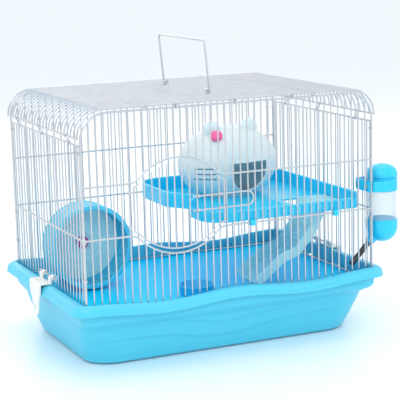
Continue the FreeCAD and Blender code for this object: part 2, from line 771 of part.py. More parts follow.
# ---------------------------------------------------------------- door and its latch
def build_door():
    y = -side_plane
    margin = size("door_margin")
    hinge_side = door_left + margin
    latch_side = door_right - size("panel_gap")
    bow_wire = wire + size("weld")                   # thicker than the bars that end in it
    top = sweep(bow_path(y, upper_rail, 1, door_left, door_right), bow_wire)
    top.translate(Vector(0, 0, -margin))
    bottom = sweep(bow_path(y, mid_rail, -1, door_left, door_right), bow_wire)
    bottom.translate(Vector(0, 0, margin))
    window = Part.makeBox(latch_side - hinge_side, 4 * wire, upper_rail,
                          Vector(hinge_side, y - 2 * wire, 0))
    pieces = [top.common(window), bottom.common(window)]
    numbers = range(int(size("door_first")) + 1, int(size("door_last")))
    for number in numbers:
        x = front_bar(number)
        pieces.append(upright(x, y, bowed(x, mid_rail, -1, margin), bowed(x, upper_rail, 1, margin), wire))
    for x in (hinge_side, latch_side):
        low = bowed(x, mid_rail, -1, margin) - rail / 2
        high = bowed(x, upper_rail, 1, margin) + rail / 2
        pieces.append(upright(x, y, low, high, rail))

    bore = wire + 2 * size("fit")
    knuckle = size("knuckle_length")
    stem_wire = wire - size("weld")                  # thinner than the bar it is welded to
    tubes = []
    for level in (mid_rail + 2 * knuckle, upper_rail - 3 * knuckle):
        foot = Vector(door_left, y, level)
        tubes.append(bar(foot, foot + Z_AXIS * knuckle, bore + wire))
        centre = foot + Z_AXIS * (knuckle / 2)
        tubes.append(bar(centre, Vector(hinge_side, y, centre.z), stem_wire))

    latch_wire = size("latch_wire")
    latch_y = y - wire / 2 - latch_wire / 2 - 2 * gap
    middle = (mid_rail + upper_rail) / 2
    spread = size("latch_spread") / 2
    guide = latch_wire + 2 * size("fit") + wire
    holes = [bar(Vector(door_left, y, 0), Vector(door_left, y, upper_rail), bore)]
    for number in (int(size("door_last")) - 4, int(size("door_last")) - 1):
        for z in (middle - spread, middle + spread):
            start = Vector(front_bar(number) - wire, latch_y, z)
            tubes.append(bar(start, start + X_AXIS * (2 * wire), guide))
            stem = Vector(front_bar(number), latch_y, z)
            tubes.append(bar(stem, Vector(stem.x, y, z), stem_wire))
    for z in (middle - spread, middle + spread):
        run = latch_wire + 2 * size("fit")
        holes.append(bar(Vector(door_left, latch_y, z), Vector(0, latch_y, z), run))
    door = welded(pieces + tubes)
    for hole in holes:
        door = door.cut(hole)
    feature("front_door", door.Solids[0])

    tip = door_right + size("latch_overhang") * front_pitch
    tail = tip - size("latch_length") - spread
    points = [Vector(tail, latch_y, middle + spread), Vector(tip, latch_y, middle + spread),
              Vector(tip, latch_y, middle - spread), Vector(tail, latch_y, middle - spread)]
    hairpin = sweep(fillet_path(points, [spread * 0.9, spread * 0.9]), latch_wire)
    feature("door_latch", hairpin)


# ---------------------------------------------------------------- side latches
def build_side_latches():
    body = new_body("latch_body")
    lip_edge = "cage_length / 2 + lip_reach_end"
    skin = "2 * running_gap"
    inside = "cage_length / 2 + wire + rail"
    low = f"lip_top + {skin}"
    profile = sketch_on(body, "XZ_Plane", "latch_profile")
    outline(profile, [
        (inside, f"{low} + latch_plate"),
        (inside, low),
        (f"{lip_edge} + {skin}", low),
        (f"{lip_edge} + {skin}", f"{low} - latch_drop"),
        (f"{lip_edge} + {skin} + latch_plate", f"{low} - latch_drop"),
        (f"{lip_edge} + {skin} + latch_plate", f"{low} + latch_plate - 1"),
        (f"{lip_edge} + {skin} + latch_plate - 1", f"{low} + latch_plate"),
    ])
    pad(body, profile, "latch_plate_pad", "latch_width", both_ways=True)

    pivot_x = "cage_length / 2 + wire / 2 + rail / 2 - weld"
    prong_width = "cage_width / side_spaces - 2 * wire"
    prongs = {"front": "1.5 * cage_width / side_spaces", "back": "0 - 1.5 * cage_width / side_spaces"}
    for name, place_y in prongs.items():
        arm = sketch_on(body, "XZ_Plane", f"latch_{name}_arm", scoped(place_y))
        outline(arm, [
            (f"{pivot_x} + rail / 2 + 0.6", low),
            (f"{inside} + 4", low),
            (f"{inside} + 4", f"{low} + latch_plate"),
            (f"{pivot_x} + rail / 2 + 2", "bar_height"),
            (f"{pivot_x} + rail / 2 + 0.6", "bar_height"),
        ])
        pad(body, arm, f"latch_{name}_arm_pad", prong_width, both_ways=True)
        knuckle = sketch_on(body, "XZ_Plane", f"latch_{name}_knuckle", scoped(place_y))
        circle(knuckle, pivot_x, "bar_height", "rail + 4")
        pad(body, knuckle, f"latch_{name}_knuckle_pad", prong_width, both_ways=True)
    bore = sketch_on(body, "XZ_Plane", "latch_bore")
    circle(bore, pivot_x, "bar_height", "rail + 2 * fit")
    pocket(body, bore, "latch_bore_pocket", "cage_width", both_ways=True)
    taper = sketch_on(body, "YZ_Plane", "latch_taper")
    for side in ("", "0 - "):
        outline(taper, [
            (f"{side}latch_width / 2", f"{low} - latch_drop / 4"),
            (f"{side}latch_width / 4", f"{low} - latch_drop - 1"),
            (f"{side}latch_width", f"{low} - latch_drop - 1"),
            (f"{side}latch_width", f"{low} - latch_drop / 4"),
        ])
    circle(taper, "0", f"{low} - latch_drop * 0.72", "latch_width / 7")
    body.Tip = pocket(body, taper, "latch_taper_pocket", "cage_length", reverse=True)
    doc.recompute()
    finish("right_latch", body)
    mirrored = doc.addObject("Part::Mirroring", "left_latch_mirror")
    mirrored.Source = body
    mirrored.Normal = X_AXIS
    finish("left_latch", mirrored)


# ---------------------------------------------------------------- platform, house, ramp
def closed_outline(points, radii):
    """A flat face whose corners are rounded by tangent arcs."""
    first = (points[0] + points[1]) / 2              # on the long front side
    path = fillet_path([first] + points[1:] + [points[0], first], radii[1:] + radii[:1])
    return Part.Face(Part.Wire(path.Edges))


def build_platform():
    left = deck_left
    right = deck_right
    front = deck_front
    back = deck_back
    low = size("deck_bottom")
    thick = size("deck_thickness")
    high = size("deck_wall")
    low_wall = size("deck_front_wall")
    notch = left + size("deck_waist")                # the waist between the lobe and the front part
    lobe_end = -side_plane / 2                       # the front part ends, then the waist, then the lobe
    waist = lobe_end + size("deck_waist_run")
    lobe_start = waist + 1.35 * size("deck_waist_run")
    points = [Vector(left, front, low), Vector(right, front, low), Vector(right, back, low),
              Vector(left, back, low), Vector(left, lobe_start, low), Vector(notch, waist, low),
              Vector(left, lobe_end, low)]
    outer = closed_outline(points, [34, 9, 24, 40, 24, 15, 12])
    inner = Part.Face(outer.OuterWire.makeOffset2D(-thick))
    inner.translate(Z_AXIS * thick)
    deck = outer.extrude(Z_AXIS * high).cut(inner.extrude(Z_AXIS * high))
    trim = Part.makeBox(right - thick - left + 1, lobe_end + thick - front, high,
                        Vector(left - 1, front - 1, low + low_wall))
    deck = deck.cut(trim)
    hatch = Part.makeBox(size("hatch_length"), size("hatch_width"), high,
                         Vector(hatch_left, hatch_front, low - thick))
    deck = deck.cut(hatch)

    flute = front_pitch * 0.3
    bars = int(size("front_spaces"))
    for number in range(bars):
        x = front_bar(number)
        if left + 40 < x < right - 12:
            groove = upright(x, front - flute * 0.6, low - 1, low + low_wall - thick, 2 * flute)
            deck = deck.cut(groove)

    grip = rail / 2 + size("fit")
    rail_y = -side_plane
    wide = front_pitch - 2 * wire
    hooks = []
    for number in (22.5, 34.5):
        x = front_bar(number)
        reach = size("deck_from_front") + grip + thick
        block = Part.makeBox(wide, reach + 1, 2 * grip + 2 * thick,
                             Vector(x - wide / 2, rail_y - grip - thick, mid_rail - grip - thick))
        slot = bar(Vector(x - wide, rail_y, mid_rail), Vector(x + wide, rail_y, mid_rail), 2 * grip)
        way_in = Part.makeBox(2 * wide, 2 * grip, grip + 2 * thick,
                              Vector(x - wide, rail_y - grip, mid_rail - grip - 2 * thick))
        hooks.append(block.cut(slot).cut(way_in))
    long_reach = end_plane + grip + thick - right
    side_wide = side_pitch - 2 * wire
    for y in (-side_plane + 4.5 * side_pitch, -side_plane + 17.5 * side_pitch):
        block = Part.makeBox(long_reach + 1, side_wide, 2 * grip + 2 * thick,
                             Vector(right - 1, y - side_wide / 2, mid_rail - grip - thick))
        slot = bar(Vector(end_plane, y - wide, mid_rail), Vector(end_plane, y + wide, mid_rail), 2 * grip)
        way_in = Part.makeBox(2 * grip, 2 * wide, grip + 2 * thick,
                              Vector(end_plane - grip, y - wide, mid_rail - grip - 2 * thick))
        hooks.append(block.cut(slot).cut(way_in))
    for hook in hooks:
        deck = deck.fuse(hook)
    feature("platform", deck.Solids[0])


def house_point(direction):
    """Point and outward normal of the dome, before it is turned and placed."""
    half = Vector(size("house_half_length"), size("house_half_width"), size("house_half_height"))
    scale = 1 / math.sqrt(sum((direction[i] / half[i]) ** 2 for i in range(3)))
    point = direction * scale
    normal = Vector(*[point[i] / half[i] ** 2 for i in range(3)]).normalize()
    return point, normal


def build_house():
    centre = "deck_bottom + deck_thickness + house_sink"
    half = {"Radius1": "house_half_height", "Radius2": "house_half_length", "Radius3": "house_half_width"}
    outer = bound("Part::Ellipsoid", "house_outer", **{key: scoped(word) for key, word in half.items()})
    thinner = {key: scoped(f"{word} - house_wall") for key, word in half.items()}
    inner = bound("Part::Ellipsoid", "house_inner", **thinner)
    for dome in (outer, inner):
        dome.Angle1 = -90
        dome.Angle2 = 90
        place(dome, z=scoped(centre))
    ears = []
    for name, side in (("left", "0 - "), ("right", "")):
        ear = bound("Part::Ellipsoid", f"house_{name}_ear", Radius1=scoped("ear_radius"),
                    Radius2=scoped("ear_radius"), Radius3=scoped("ear_radius / 2"))
        ear.Angle1 = -90
        ear.Angle2 = 90
        place(ear, x=scoped(f"{side}house_half_length * 0.4"), y=scoped("0 - house_half_width / 5"),
              z=scoped(f"{centre} + house_half_height * 0.92"))
        ears.append(ear)
    skin = fuse("house_with_ears", outer, *ears)
    shell = cut("house_hollow", skin, inner)
    room = bound("Part::Box", "above_deck", Length=scoped("4 * house_half_length"),
                 Width=scoped("4 * house_half_width"), Height=scoped("4 * house_half_height"))
    place(room, x=scoped("0 - 2 * house_half_length"), y=scoped("0 - 2 * house_half_width"),
          z=scoped("deck_bottom + deck_thickness"))
    cup = common("house_cup", shell, room)

    sill_level = "deck_bottom + deck_thickness + doorway_sill + doorway_width / 2"
    arch = bound("Part::Cylinder", "doorway_round", Radius=scoped("doorway_width / 2"),
                 Height=scoped("2 * house_half_width"))
    arch.Angle = 180                                 # only the lower half
    arch.Placement = Placement(Vector(0, 0, 0), Rotation(X_AXIS, -90))
    place(arch, x=scoped("house_half_length / 8"), y=scoped("0 - 2 * house_half_width"),
          z=scoped(sill_level))
    block = bound("Part::Box", "doorway_square", Length=scoped("doorway_width"),
                  Width=scoped("2 * house_half_width"), Height=scoped("doorway_straight"))
    place(block, x=scoped("house_half_length / 8 - doorway_width / 2"),
          y=scoped("0 - 2 * house_half_width"), z=scoped(sill_level))
    tools = [arch, block]
    for number in range(3):
        vent = bound("Part::Box", f"vent_{number}", Length=scoped("house_half_length * 0.34"),
                     Width=scoped("2 * house_half_width"), Height=scoped("house_wall"))
        place(vent, x=scoped("0 - house_half_length * 0.87"), y=scoped("0 - 2 * house_half_width"),
              z=scoped(f"{centre} - house_half_height * ( 0.03 + {number} * 0.14 )"))
        tools.append(vent)

    point, normal = house_point(Vector(-0.55, -0.50, 0.73))
    seat = Vector(0, 0, size(centre)) + point
    stem = bound("Part::Cylinder", "plug_hole", Radius=scoped("plug_radius / 2 + fit"),
                 Height=scoped("8 * house_wall"))
    turn = Rotation(Z_AXIS, normal)
    stem.Placement = Placement(seat - normal * (4 * size("house_wall")), turn)
    tools.append(stem)
    house = cut("house_with_openings", cup, fuse("house_openings", *tools))
    middle = Vector(deck_left + size("house_from_left"), deck_front + size("house_from_front"), 0)
    spot = Placement(middle, Rotation(Z_AXIS, size("house_turn")))
    house.Placement = spot
    finish("house_shell", house)

    plug = new_body("house_plug_body")
    profile = sketch_on(plug, "XZ_Plane", "plug_profile")
    lift = 1.2                                       # the cap's rim clears the curved shell
    outline(profile, [("0", f"0 - 2 * house_wall"), ("plug_radius / 2", "0 - 2 * house_wall"),
                      ("plug_radius / 2", f"{lift}"), ("plug_radius", f"{lift}"),
                      ("plug_radius", f"{lift} + 2 * house_wall"),
                      ("plug_radius / 2", f"{lift} + 3 * house_wall"), ("0", f"{lift} + 3 * house_wall")])
    plug.Tip = turned(plug, profile, "plug_turned")
    plug.Placement = spot.multiply(Placement(seat, turn))
    finish("house_plug", plug)


def build_ramp():
    low = size("deck_bottom")
    wall = size("ramp_wall")
    half = size("ramp_width") / 2
    high = size("ramp_rail")
    middle = (hatch_front + hatch_back) / 2
    top_x = hatch_right - high - wall
    foot = floor_top + 2 * wall
    drop = low - foot
    top = deck_floor + wall
    points = [Vector(top_x, middle, top), Vector(top_x - 22, middle, low - drop * 0.36),
              Vector(top_x - 48, middle, low - drop * 0.64), Vector(top_x - 74, middle, low - drop * 0.72),
              Vector(top_x - 112, middle, foot)]
    path = fillet_path(points, [30, 22, 26])
    first = path.Edges[0]
    start = first.valueAt(first.FirstParameter)
    tangent = first.tangentAt(first.FirstParameter)
    across = Y_AXIS
    lift = tangent.cross(across).normalize()
    if lift.x > 0:
        lift = lift * -1
    corners = [(-half, 0), (half, 0), (half, high), (half - wall, high), (half - wall, wall),
               (wall - half, wall), (wall - half, high), (-half, high)]
    rim = [start + across * a + lift * b for a, b in corners]
    profile = Part.makePolygon(rim + [rim[0]])
    ramp = path.makePipeShell([profile], True, False)
    keep = Part.makeBox(4 * end_plane, 2 * side_plane, top - floor_top - gap,
                        Vector(-2 * end_plane, -side_plane, floor_top + gap))
    shelf = Part.makeBox(hatch_right + size("ramp_lap") - top_x + wall, size("ramp_width"), wall,
                         Vector(top_x - wall, middle - half, deck_floor))
    feature("ramp", welded([ramp.common(keep), shelf]))


# ---------------------------------------------------------------- wheel
def build_wheel():
    centre = "ledge + floor_thickness + wheel_lift + wheel_radius"
    back = "wheel_front + wheel_depth"
    drum = new_body("wheel_drum_body")
    profile = sketch_on(drum, "XY_Plane", "drum_profile")
    outline(profile, [
        ("wheel_radius - 3 * wheel_wall", "wheel_front"), ("wheel_radius", "wheel_front"),
        ("wheel_radius", back), ("hub_radius - wheel_wall", back),
        ("hub_radius - wheel_wall", f"{back} - wheel_wall"),
        ("wheel_radius - wheel_wall", f"{back} - wheel_wall"),
        ("wheel_radius - wheel_wall", "wheel_front + wheel_wall"),
        ("wheel_radius - 3 * wheel_wall", "wheel_front + wheel_wall"),
    ])
    turned(drum, profile, "drum_turned")
    tread = sketch_on(drum, "XZ_Plane", "tread_profile", scoped(f"0 - ( {back} )"))
    circle(tread, "wheel_radius - wheel_wall", "0", "wheel_wall")
    rung = pad(drum, tread, "tread_pad", "wheel_depth")
    ring = drum.newObject("PartDesign::PolarPattern", "tread_ring")
    ring.Originals = [rung]
    ring.Axis = (tread, ["N_Axis"])
    ring.Angle = 360
    ring.Occurrences = 30
    drum.Tip = ring
    place(drum, x=scoped(wheel_at), z=scoped(centre))
    finish("wheel_drum", drum)

    hub = new_body("wheel_hub_body")
    profile = sketch_on(hub, "XY_Plane", "hub_profile")
    outline(profile, [
        ("axle / 2 + fit", f"{back} - 4 * wheel_wall"), ("hub_radius", f"{back} - 4 * wheel_wall"),
        ("hub_radius", f"{back} - wheel_wall"), ("hub_radius - wheel_wall", f"{back} - wheel_wall"),
        ("hub_radius - wheel_wall", f"{back} + wheel_wall"), ("axle / 2 + fit", f"{back} + wheel_wall"),
    ])
    hub.Tip = turned(hub, profile, "hub_turned")
    place(hub, x=scoped(wheel_at), z=scoped(centre))
    finish("wheel_hub", hub)

    pin_body = new_body("wheel_axle_body")
    profile = sketch_on(pin_body, "XY_Plane", "axle_profile")
    head = f"{back} - 4 * wheel_wall - running_gap"
    outline(profile, [
        ("0", f"{head} - wheel_wall"), ("axle", f"{head} - wheel_wall"), ("axle", head),
        ("axle / 2", head), ("axle / 2", f"{back} + 4 * wheel_wall"), ("0", f"{back} + 4 * wheel_wall"),
    ])
    pin_body.Tip = turned(pin_body, profile, "axle_turned")
    place(pin_body, x=scoped(wheel_at), z=scoped(centre))
    finish("wheel_axle", pin_body)

    stand = new_body("wheel_stand_body")
    post = sketch_on(stand, "XZ_Plane", "post_profile", scoped(f"0 - ( {back} + 2 * wheel_wall )"))
    floor = "ledge + floor_thickness"
    outline(post, [
        (f"{wheel_at} - wheel_radius * 0.62", floor), (f"{wheel_at} + wheel_radius * 0.62", floor),
        (f"{wheel_at} + wheel_radius * 0.62", f"{floor} + wheel_wall * 2"),
        (f"{wheel_at} + 2.4 * axle", f"{centre} + axle"), (f"{wheel_at} + axle", f"{centre} + 2.4 * axle"),
        (f"{wheel_at} - axle", f"{centre} + 2.4 * axle"), (f"{wheel_at} - 2.4 * axle", f"{centre} + axle"),
        (f"{wheel_at} - wheel_radius * 0.62", f"{floor} + wheel_wall * 2"),
    ])
    pad(stand, post, "post_pad", "2 * wheel_wall", reverse=True)
    foot = sketch_on(stand, "XY_Plane", "stand_foot", scoped(floor))
    outline(foot, [
        (f"{wheel_at} - wheel_radius * 0.62", f"{back} + 2 * wheel_wall"),
        (f"{wheel_at} + wheel_radius * 0.62", f"{back} + 2 * wheel_wall"),
        (f"{wheel_at} + wheel_radius * 0.62", f"{back} + wheel_depth"),
        (f"{wheel_at} - wheel_radius * 0.62", f"{back} + wheel_depth"),
    ])
    pad(stand, foot, "foot_pad", "2 * wheel_wall")
    hole = sketch_on(stand, "XZ_Plane", "axle_hole")
    circle(hole, wheel_at, centre, "axle")
    stand.Tip = pocket(stand, hole, "axle_hole_pocket", "cage_width", both_ways=True)
    finish("wheel_stand", stand)


# ---------------------------------------------------------------- bottle
def build_bottle():
    x = "cage_length / 2 + bottle_gap + bottle_radius"
    y = "1.5 * cage_width / side_spaces - cage_width / 2"
    wall = "bottle_wall"

    def vessel(name, corners):
        body = new_body(f"{name}_body")
        profile = sketch_on(body, "XZ_Plane", f"{name}_profile")
        outline(profile, corners)
        body.Tip = turned(body, profile, f"{name}_turned")
        place(body, x=scoped(x), y=scoped(y))
        return finish(name, body)

    r = "bottle_radius"
    vessel("bottle_top", [
        ("0", "dome_top - bottle_wall"), ("0", "dome_top"), (f"{r} * 0.5", "dome_top"),
        (f"{r} * 0.86", "dome_top - 4"), (r, "dome_top - 11"), (r, "body_top"),
        (f"{r} - {wall}", "body_top"), (f"{r} - {wall}", "dome_top - 12"),
        (f"{r} * 0.86 - {wall} / 2", "dome_top - 4 - bottle_wall"),
        (f"{r} * 0.5", "dome_top - bottle_wall"),
    ])
    vessel("bottle_body", [
        (f"{r} - 1 - {wall}", "bowl_top"), (f"{r} - 1", "bowl_top"), (f"{r} - 1", "body_top"),
        (f"{r} - {wall}", "body_top"), (f"{r} - {wall}", "body_top + 4"),
        (f"{r} - 1 - {wall}", "body_top + 4"),
    ])
    bowl = vessel("bottle_bowl_blank", [
        ("0", "bowl_bottom + bottle_wall"), ("0", "bowl_bottom"), (f"{r} * 0.42", "bowl_bottom"),
        (f"{r} * 0.78", "bowl_bottom + 5"), (f"{r} * 0.96", "bowl_bottom + 13"), (r, "bowl_bottom + 20"),
        (r, "bowl_top"), (f"{r} - {wall}", "bowl_top"), (f"{r} - {wall}", "bowl_bottom + 20"),
        (f"{r} * 0.96 - {wall}", "bowl_bottom + 13"),
        (f"{r} * 0.78 - {wall}", "bowl_bottom + 5 + bottle_wall"),
        (f"{r} * 0.42", "bowl_bottom + bottle_wall"),
    ])
    del parts["bottle_bowl_blank"]

    down = Vector(-1, 0, -1).normalize()
    centre = Vector(size(x), size(y), size("bowl_bottom") + size(r))
    root = centre + down * (size(r) - 3)
    outer = size("spout") / 2
    bore = outer - size("spout_wall")
    long = size("spout_length")
    lip = size("spout_ball") / 2 - 0.4               # the tip is rolled in to keep the ball
    tube_profile = [Vector(bore, 0, 0), Vector(outer, 0, 0), Vector(outer, 0, long - 3),
                    Vector(lip + 0.7, 0, long), Vector(lip, 0, long), Vector(bore, 0, long - 2.6)]
    face = Part.Face(Part.makePolygon(tube_profile + [tube_profile[0]]))
    spout = face.revolve(Vector(0, 0, 0), Z_AXIS, 360)
    aim = Placement(root, Rotation(Z_AXIS, down))
    spout.Placement = aim
    feature("spout_tube", spout)
    hole = doc.addObject("Part::Feature", "spout_hole")
    hole.Shape = bar(root - down * size(r) * 0.4, root + down * long, size("spout"))
    finish("bottle_bowl", cut("bottle_bowl_cut", bowl, hole))
    ball = Part.makeSphere(size("spout_ball") / 2, root + down * (long - 2.2))
    feature("spout_ball", ball)

    spot_y = size(y)
    grip = size("bottle_radius") + gap
    arm = size("holder_wall")
    low = size("body_top + holder_margin")
    high = size("band_top - holder_margin")
    back = end_plane + wire / 2 + gap
    thin = arm - 2 * gap                             # the plate keeps clear of the bottle
    plate = Part.makeBox(thin, 2 * (grip + arm), high - low, Vector(back, spot_y - grip - arm, low))
    reach = size(x) + grip * 0.3 - back
    arms = [Part.makeBox(reach, arm, high - low, Vector(back, spot_y - grip - arm, low)),
            Part.makeBox(reach, arm, high - low, Vector(back, spot_y + grip, low))]
    holder = plate.fuse(arms).removeSplitter()
    screw = size("screw")
    inner = end_plane - wire / 2 - gap - arm
    clamp = Part.makeBox(arm, 2 * grip * 0.8, high - low, Vector(inner, spot_y - grip * 0.8, low))
    screws = []
    for offset in (-side_pitch, side_pitch):
        where = Vector(inner - 2, spot_y + offset, (low + high) / 2)
        shank = bar(where, Vector(back + thin, where.y, where.z), screw)
        head = bar(where, where + X_AXIS * 2, 2 * screw)
        screws.append(head.fuse(shank))
        holder = holder.cut(bar(where, where + X_AXIS * 20, screw))
        clamp = clamp.cut(bar(where, where + X_AXIS * 20, screw))
    feature("bottle_holder", holder.Solids[0])
    feature("holder_clamp", clamp)
    feature("holder_screws", Part.Compound([item.Solids[0] for item in screws]))


def build_dish():
    body = new_body("food_dish_body")
    profile = sketch_on(body, "XZ_Plane", "dish_profile")
    r = "dish_radius"
    outline(profile, [
        ("0", "0"), (f"{r} - 3", "0"), (r, "dish_height"), (f"{r} - dish_wall", "dish_height"),
        (f"{r} - 3 - dish_wall", "dish_wall"), ("0", "dish_wall"),
    ])
    body.Tip = turned(body, profile, "dish_turned")
    place(body, x=scoped(f"{deck_left_at} + dish_from_deck"), y=scoped("dish_from_front - cage_width / 2"),
          z=scoped("ledge + floor_thickness + running_gap"))
    finish("food_dish", body)


# ---------------------------------------------------------------- build, check, write
build_tray()
build_floor()
build_front()
build_back()
build_end("left_panel", "-1")
build_end("right_panel", "1")
build_roof()
build_clips()
build_door()
build_side_latches()
build_platform()
build_house()
build_ramp()
build_wheel()
build_bottle()
build_dish()
doc.recompute()

faults = []
for item in doc.Objects:
    if "Invalid" in item.State or "Error" in item.State:
        faults.append(f"{item.Label}: {item.State}")
for name, source in parts.items():
    if source.Shape.isNull() or not source.Shape.isValid():
        faults.append(f"{name}: no valid shape")
if faults:
    raise RuntimeError("; ".join(faults))

os.makedirs("parts", exist_ok=True)
for name, source in parts.items():
    source.Shape.exportStep(f"parts/{name}.step")
    box = source.Shape.BoundBox
    print(f"{name}: {len(source.Shape.Solids)} solid(s), {source.Shape.Volume:.0f} mm3,"
          f" X {box.XMin:.1f}..{box.XMax:.1f} Y {box.YMin:.1f}..{box.YMax:.1f}"
          f" Z {box.ZMin:.1f}..{box.ZMax:.1f}")
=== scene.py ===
import math

import bmesh
import bpy
from mathutils import Matrix, Vector
from mathutils.bvhtree import BVHTree


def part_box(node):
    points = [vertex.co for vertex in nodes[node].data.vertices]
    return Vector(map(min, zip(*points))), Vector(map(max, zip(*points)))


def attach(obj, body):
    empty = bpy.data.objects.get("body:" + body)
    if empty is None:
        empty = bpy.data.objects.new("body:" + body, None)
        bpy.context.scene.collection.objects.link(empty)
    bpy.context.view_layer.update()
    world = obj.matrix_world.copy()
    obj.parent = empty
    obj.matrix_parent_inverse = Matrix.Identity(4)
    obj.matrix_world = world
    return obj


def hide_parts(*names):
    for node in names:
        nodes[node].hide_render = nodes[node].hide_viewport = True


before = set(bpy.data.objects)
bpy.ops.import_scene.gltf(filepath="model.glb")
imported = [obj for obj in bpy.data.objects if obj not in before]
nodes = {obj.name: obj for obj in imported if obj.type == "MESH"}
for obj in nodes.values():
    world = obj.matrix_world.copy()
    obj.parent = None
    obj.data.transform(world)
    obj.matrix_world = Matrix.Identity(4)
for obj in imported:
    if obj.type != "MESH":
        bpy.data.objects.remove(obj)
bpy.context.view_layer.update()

mm = 0.001  # sizes below are in millimetres
tiny = 0.001 * mm


def centreOf(node):
    low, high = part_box(node)
    return (low + high) / 2


# shader maths on sockets
class Value:
    def __init__(self, surface, socket):
        self.surface = surface
        self.socket = socket

    def join(self, operation, first, second):
        return self.surface.node("ShaderNodeMath", {"operation": operation}, {0: first, 1: second})

    def __add__(self, other):
        return self.join("ADD", self, other)

    def __radd__(self, other):
        return self.join("ADD", other, self)

    def __sub__(self, other):
        return self.join("SUBTRACT", self, other)

    def __rsub__(self, other):
        return self.join("SUBTRACT", other, self)

    def __mul__(self, other):
        return self.join("MULTIPLY", self, other)

    def __rmul__(self, other):
        return self.join("MULTIPLY", other, self)

    def power(self, exponent):
        return self.join("POWER", self, exponent)


class Surface:
    def __init__(self, name):
        self.material = bpy.data.materials.new(name)
        self.material.use_nodes = True
        self.tree = self.material.node_tree
        self.tree.nodes.clear()
        self.shader = self.tree.nodes.new("ShaderNodeBsdfPrincipled")
        output = self.tree.nodes.new("ShaderNodeOutputMaterial")
        self.tree.links.new(self.shader.outputs["BSDF"], output.inputs["Surface"])

    def fill(self, node, inputs):
        for key, value in inputs.items():
            if isinstance(value, Value):
                self.tree.links.new(value.socket, node.inputs[key])
            else:
                node.inputs[key].default_value = value

    def node(self, kind, settings=None, inputs=None, output=0):
        made = self.tree.nodes.new(kind)
        for key, value in (settings or {}).items():
            if key == "stops":
                for number, (place, colour) in enumerate(value):
                    points = made.color_ramp.elements
                    stop = points[number] if number < 2 else points.new(place)
                    stop.position = place
                    stop.color = colour
            else:
                setattr(made, key, value)
        self.fill(made, inputs or {})
        return Value(self, made.outputs[output])

    def place(self, stretch=(1, 1, 1)):
        where = self.node("ShaderNodeTexCoord", output="Object")
        return self.node("ShaderNodeMapping", inputs={"Vector": where, "Scale": stretch})

    def noise(self, scale, detail=2.0, stretch=(1, 1, 1)):
        inputs = {"Vector": self.place(stretch), "Scale": scale, "Detail": detail}
        return self.node("ShaderNodeTexNoise", inputs=inputs)

    def blend(self, factor, first, second):
        return self.node("ShaderNodeMix", {"data_type": "RGBA"}, {0: factor, 6: first, 7: second}, output=2)

    def ramp(self, factor, *stops):
        return self.node("ShaderNodeValToRGB", {"stops": stops}, {"Fac": factor})

    def bump(self, height, distance, strength=1.0):
        inputs = {"Height": height, "Distance": distance, "Strength": strength}
        return self.node("ShaderNodeBump", inputs=inputs)

    def finish(self, **inputs):
        self.fill(self.shader, {key.replace("_", " "): value for key, value in inputs.items()})
        return self.material


def grey(level):
    return (level, level, level, 1.0)


def mouldedPlastic(name, look):
    # slow colour drift, flow streaks, a satin grain, a few soft scuffs and, where a look asks for it, a
    # painted highlight along the top of a rim
    surface = Surface(name)
    drift = surface.noise(look["drift"], 3.0)
    streaks = surface.noise(26.0, 4.0, (1.0, 1.0, 7.0))
    grain = surface.noise(look["grain"], 2.0)
    scuffs = surface.ramp(surface.noise(70.0, 6.0, (1.0, 1.0, 0.25)), (0.56, grey(0.0)), (0.72, grey(1.0)))
    body = surface.blend(drift, look["colour"], look["shade"])
    # a band of lighter colour above a set height: a painted highlight on the top of the platform's rim
    if "rim" in look:
        height = surface.node("ShaderNodeSeparateXYZ", inputs={"Vector": surface.place()}, output="Z")
        above = surface.ramp(height * 5.0 - 0.5, *look["rim"])
        body = surface.blend(above, body, look["rimColour"])
    body = surface.blend(streaks * 0.22, body, look["light"])
    body = surface.blend(scuffs * look["scuff"], body, look["light"])
    height = grain * 0.6 + streaks * 0.4
    extra = {}
    if "alpha" in look:
        extra["Alpha"] = look["alpha"] + drift * look["cloud"]
    return surface.finish(
        Base_Color=body,
        Roughness=look["rough"] + grain * 0.10 + scuffs * 0.12,
        Normal=surface.bump(height, look["relief"], 0.5),
        Coat_Weight=look["coat"],
        Coat_Roughness=0.12,
        Specular_IOR_Level=look["shine"],
        Subsurface_Weight=look.get("soft", 0.0),
        Subsurface_Radius=(0.006, 0.010, 0.012),
        Subsurface_Scale=0.5,
        **extra,
    )


def platedWire(name, look):
    # fine lengthwise draw lines, cloudy plating and a few duller spots
    surface = Surface(name)
    clouds = surface.noise(34.0, 4.0)
    drawn = surface.noise(900.0, 3.0, look["draw"])
    spots = surface.ramp(surface.noise(160.0, 2.0), (0.60, grey(0.0)), (0.74, grey(1.0)))
    tone = surface.blend(clouds, look["colour"], look["shade"])
    tone = surface.blend(spots * 0.35, tone, look["dull"])
    return surface.finish(
        Base_Color=tone,
        Metallic=look["metal"],
        Roughness=look["rough"] + clouds * 0.12 + spots * 0.15,
        Normal=surface.bump(drawn, 0.00005, 0.4),
        Coat_Weight=0.25,
        Coat_Roughness=0.15,
    )


def clearPlastic(name, look):
    # blown clear wall: denser at grazing angles, faint vertical waves
    surface = Surface(name)
    facing = surface.node("ShaderNodeLayerWeight", inputs={"Blend": 0.35}, output="Facing")
    waves = surface.noise(45.0, 2.0, (1.0, 1.0, 0.2))
    haze = surface.noise(220.0, 3.0)
    return surface.finish(
        Base_Color=surface.blend(waves, look["colour"], look["shade"]),
        Alpha=look["alpha"] + facing.power(2.0) * 0.55 + waves * 0.05,
        Roughness=0.06 + haze * 0.08,
        Normal=surface.bump(waves, 0.0004, 0.5),
        Coat_Weight=0.6,
        Coat_Roughness=0.03,
    )


def tinted(colour, shade, light, **changes):
    look = {"colour": (*colour, 1.0), "shade": (*shade, 1.0), "light": (*light, 1.0), "drift": 9.0,
            "grain": 1400.0, "rough": 0.30, "coat": 0.18, "relief": 0.00012, "scuff": 0.10, "shine": 0.45}
    look.update(changes)
    return look


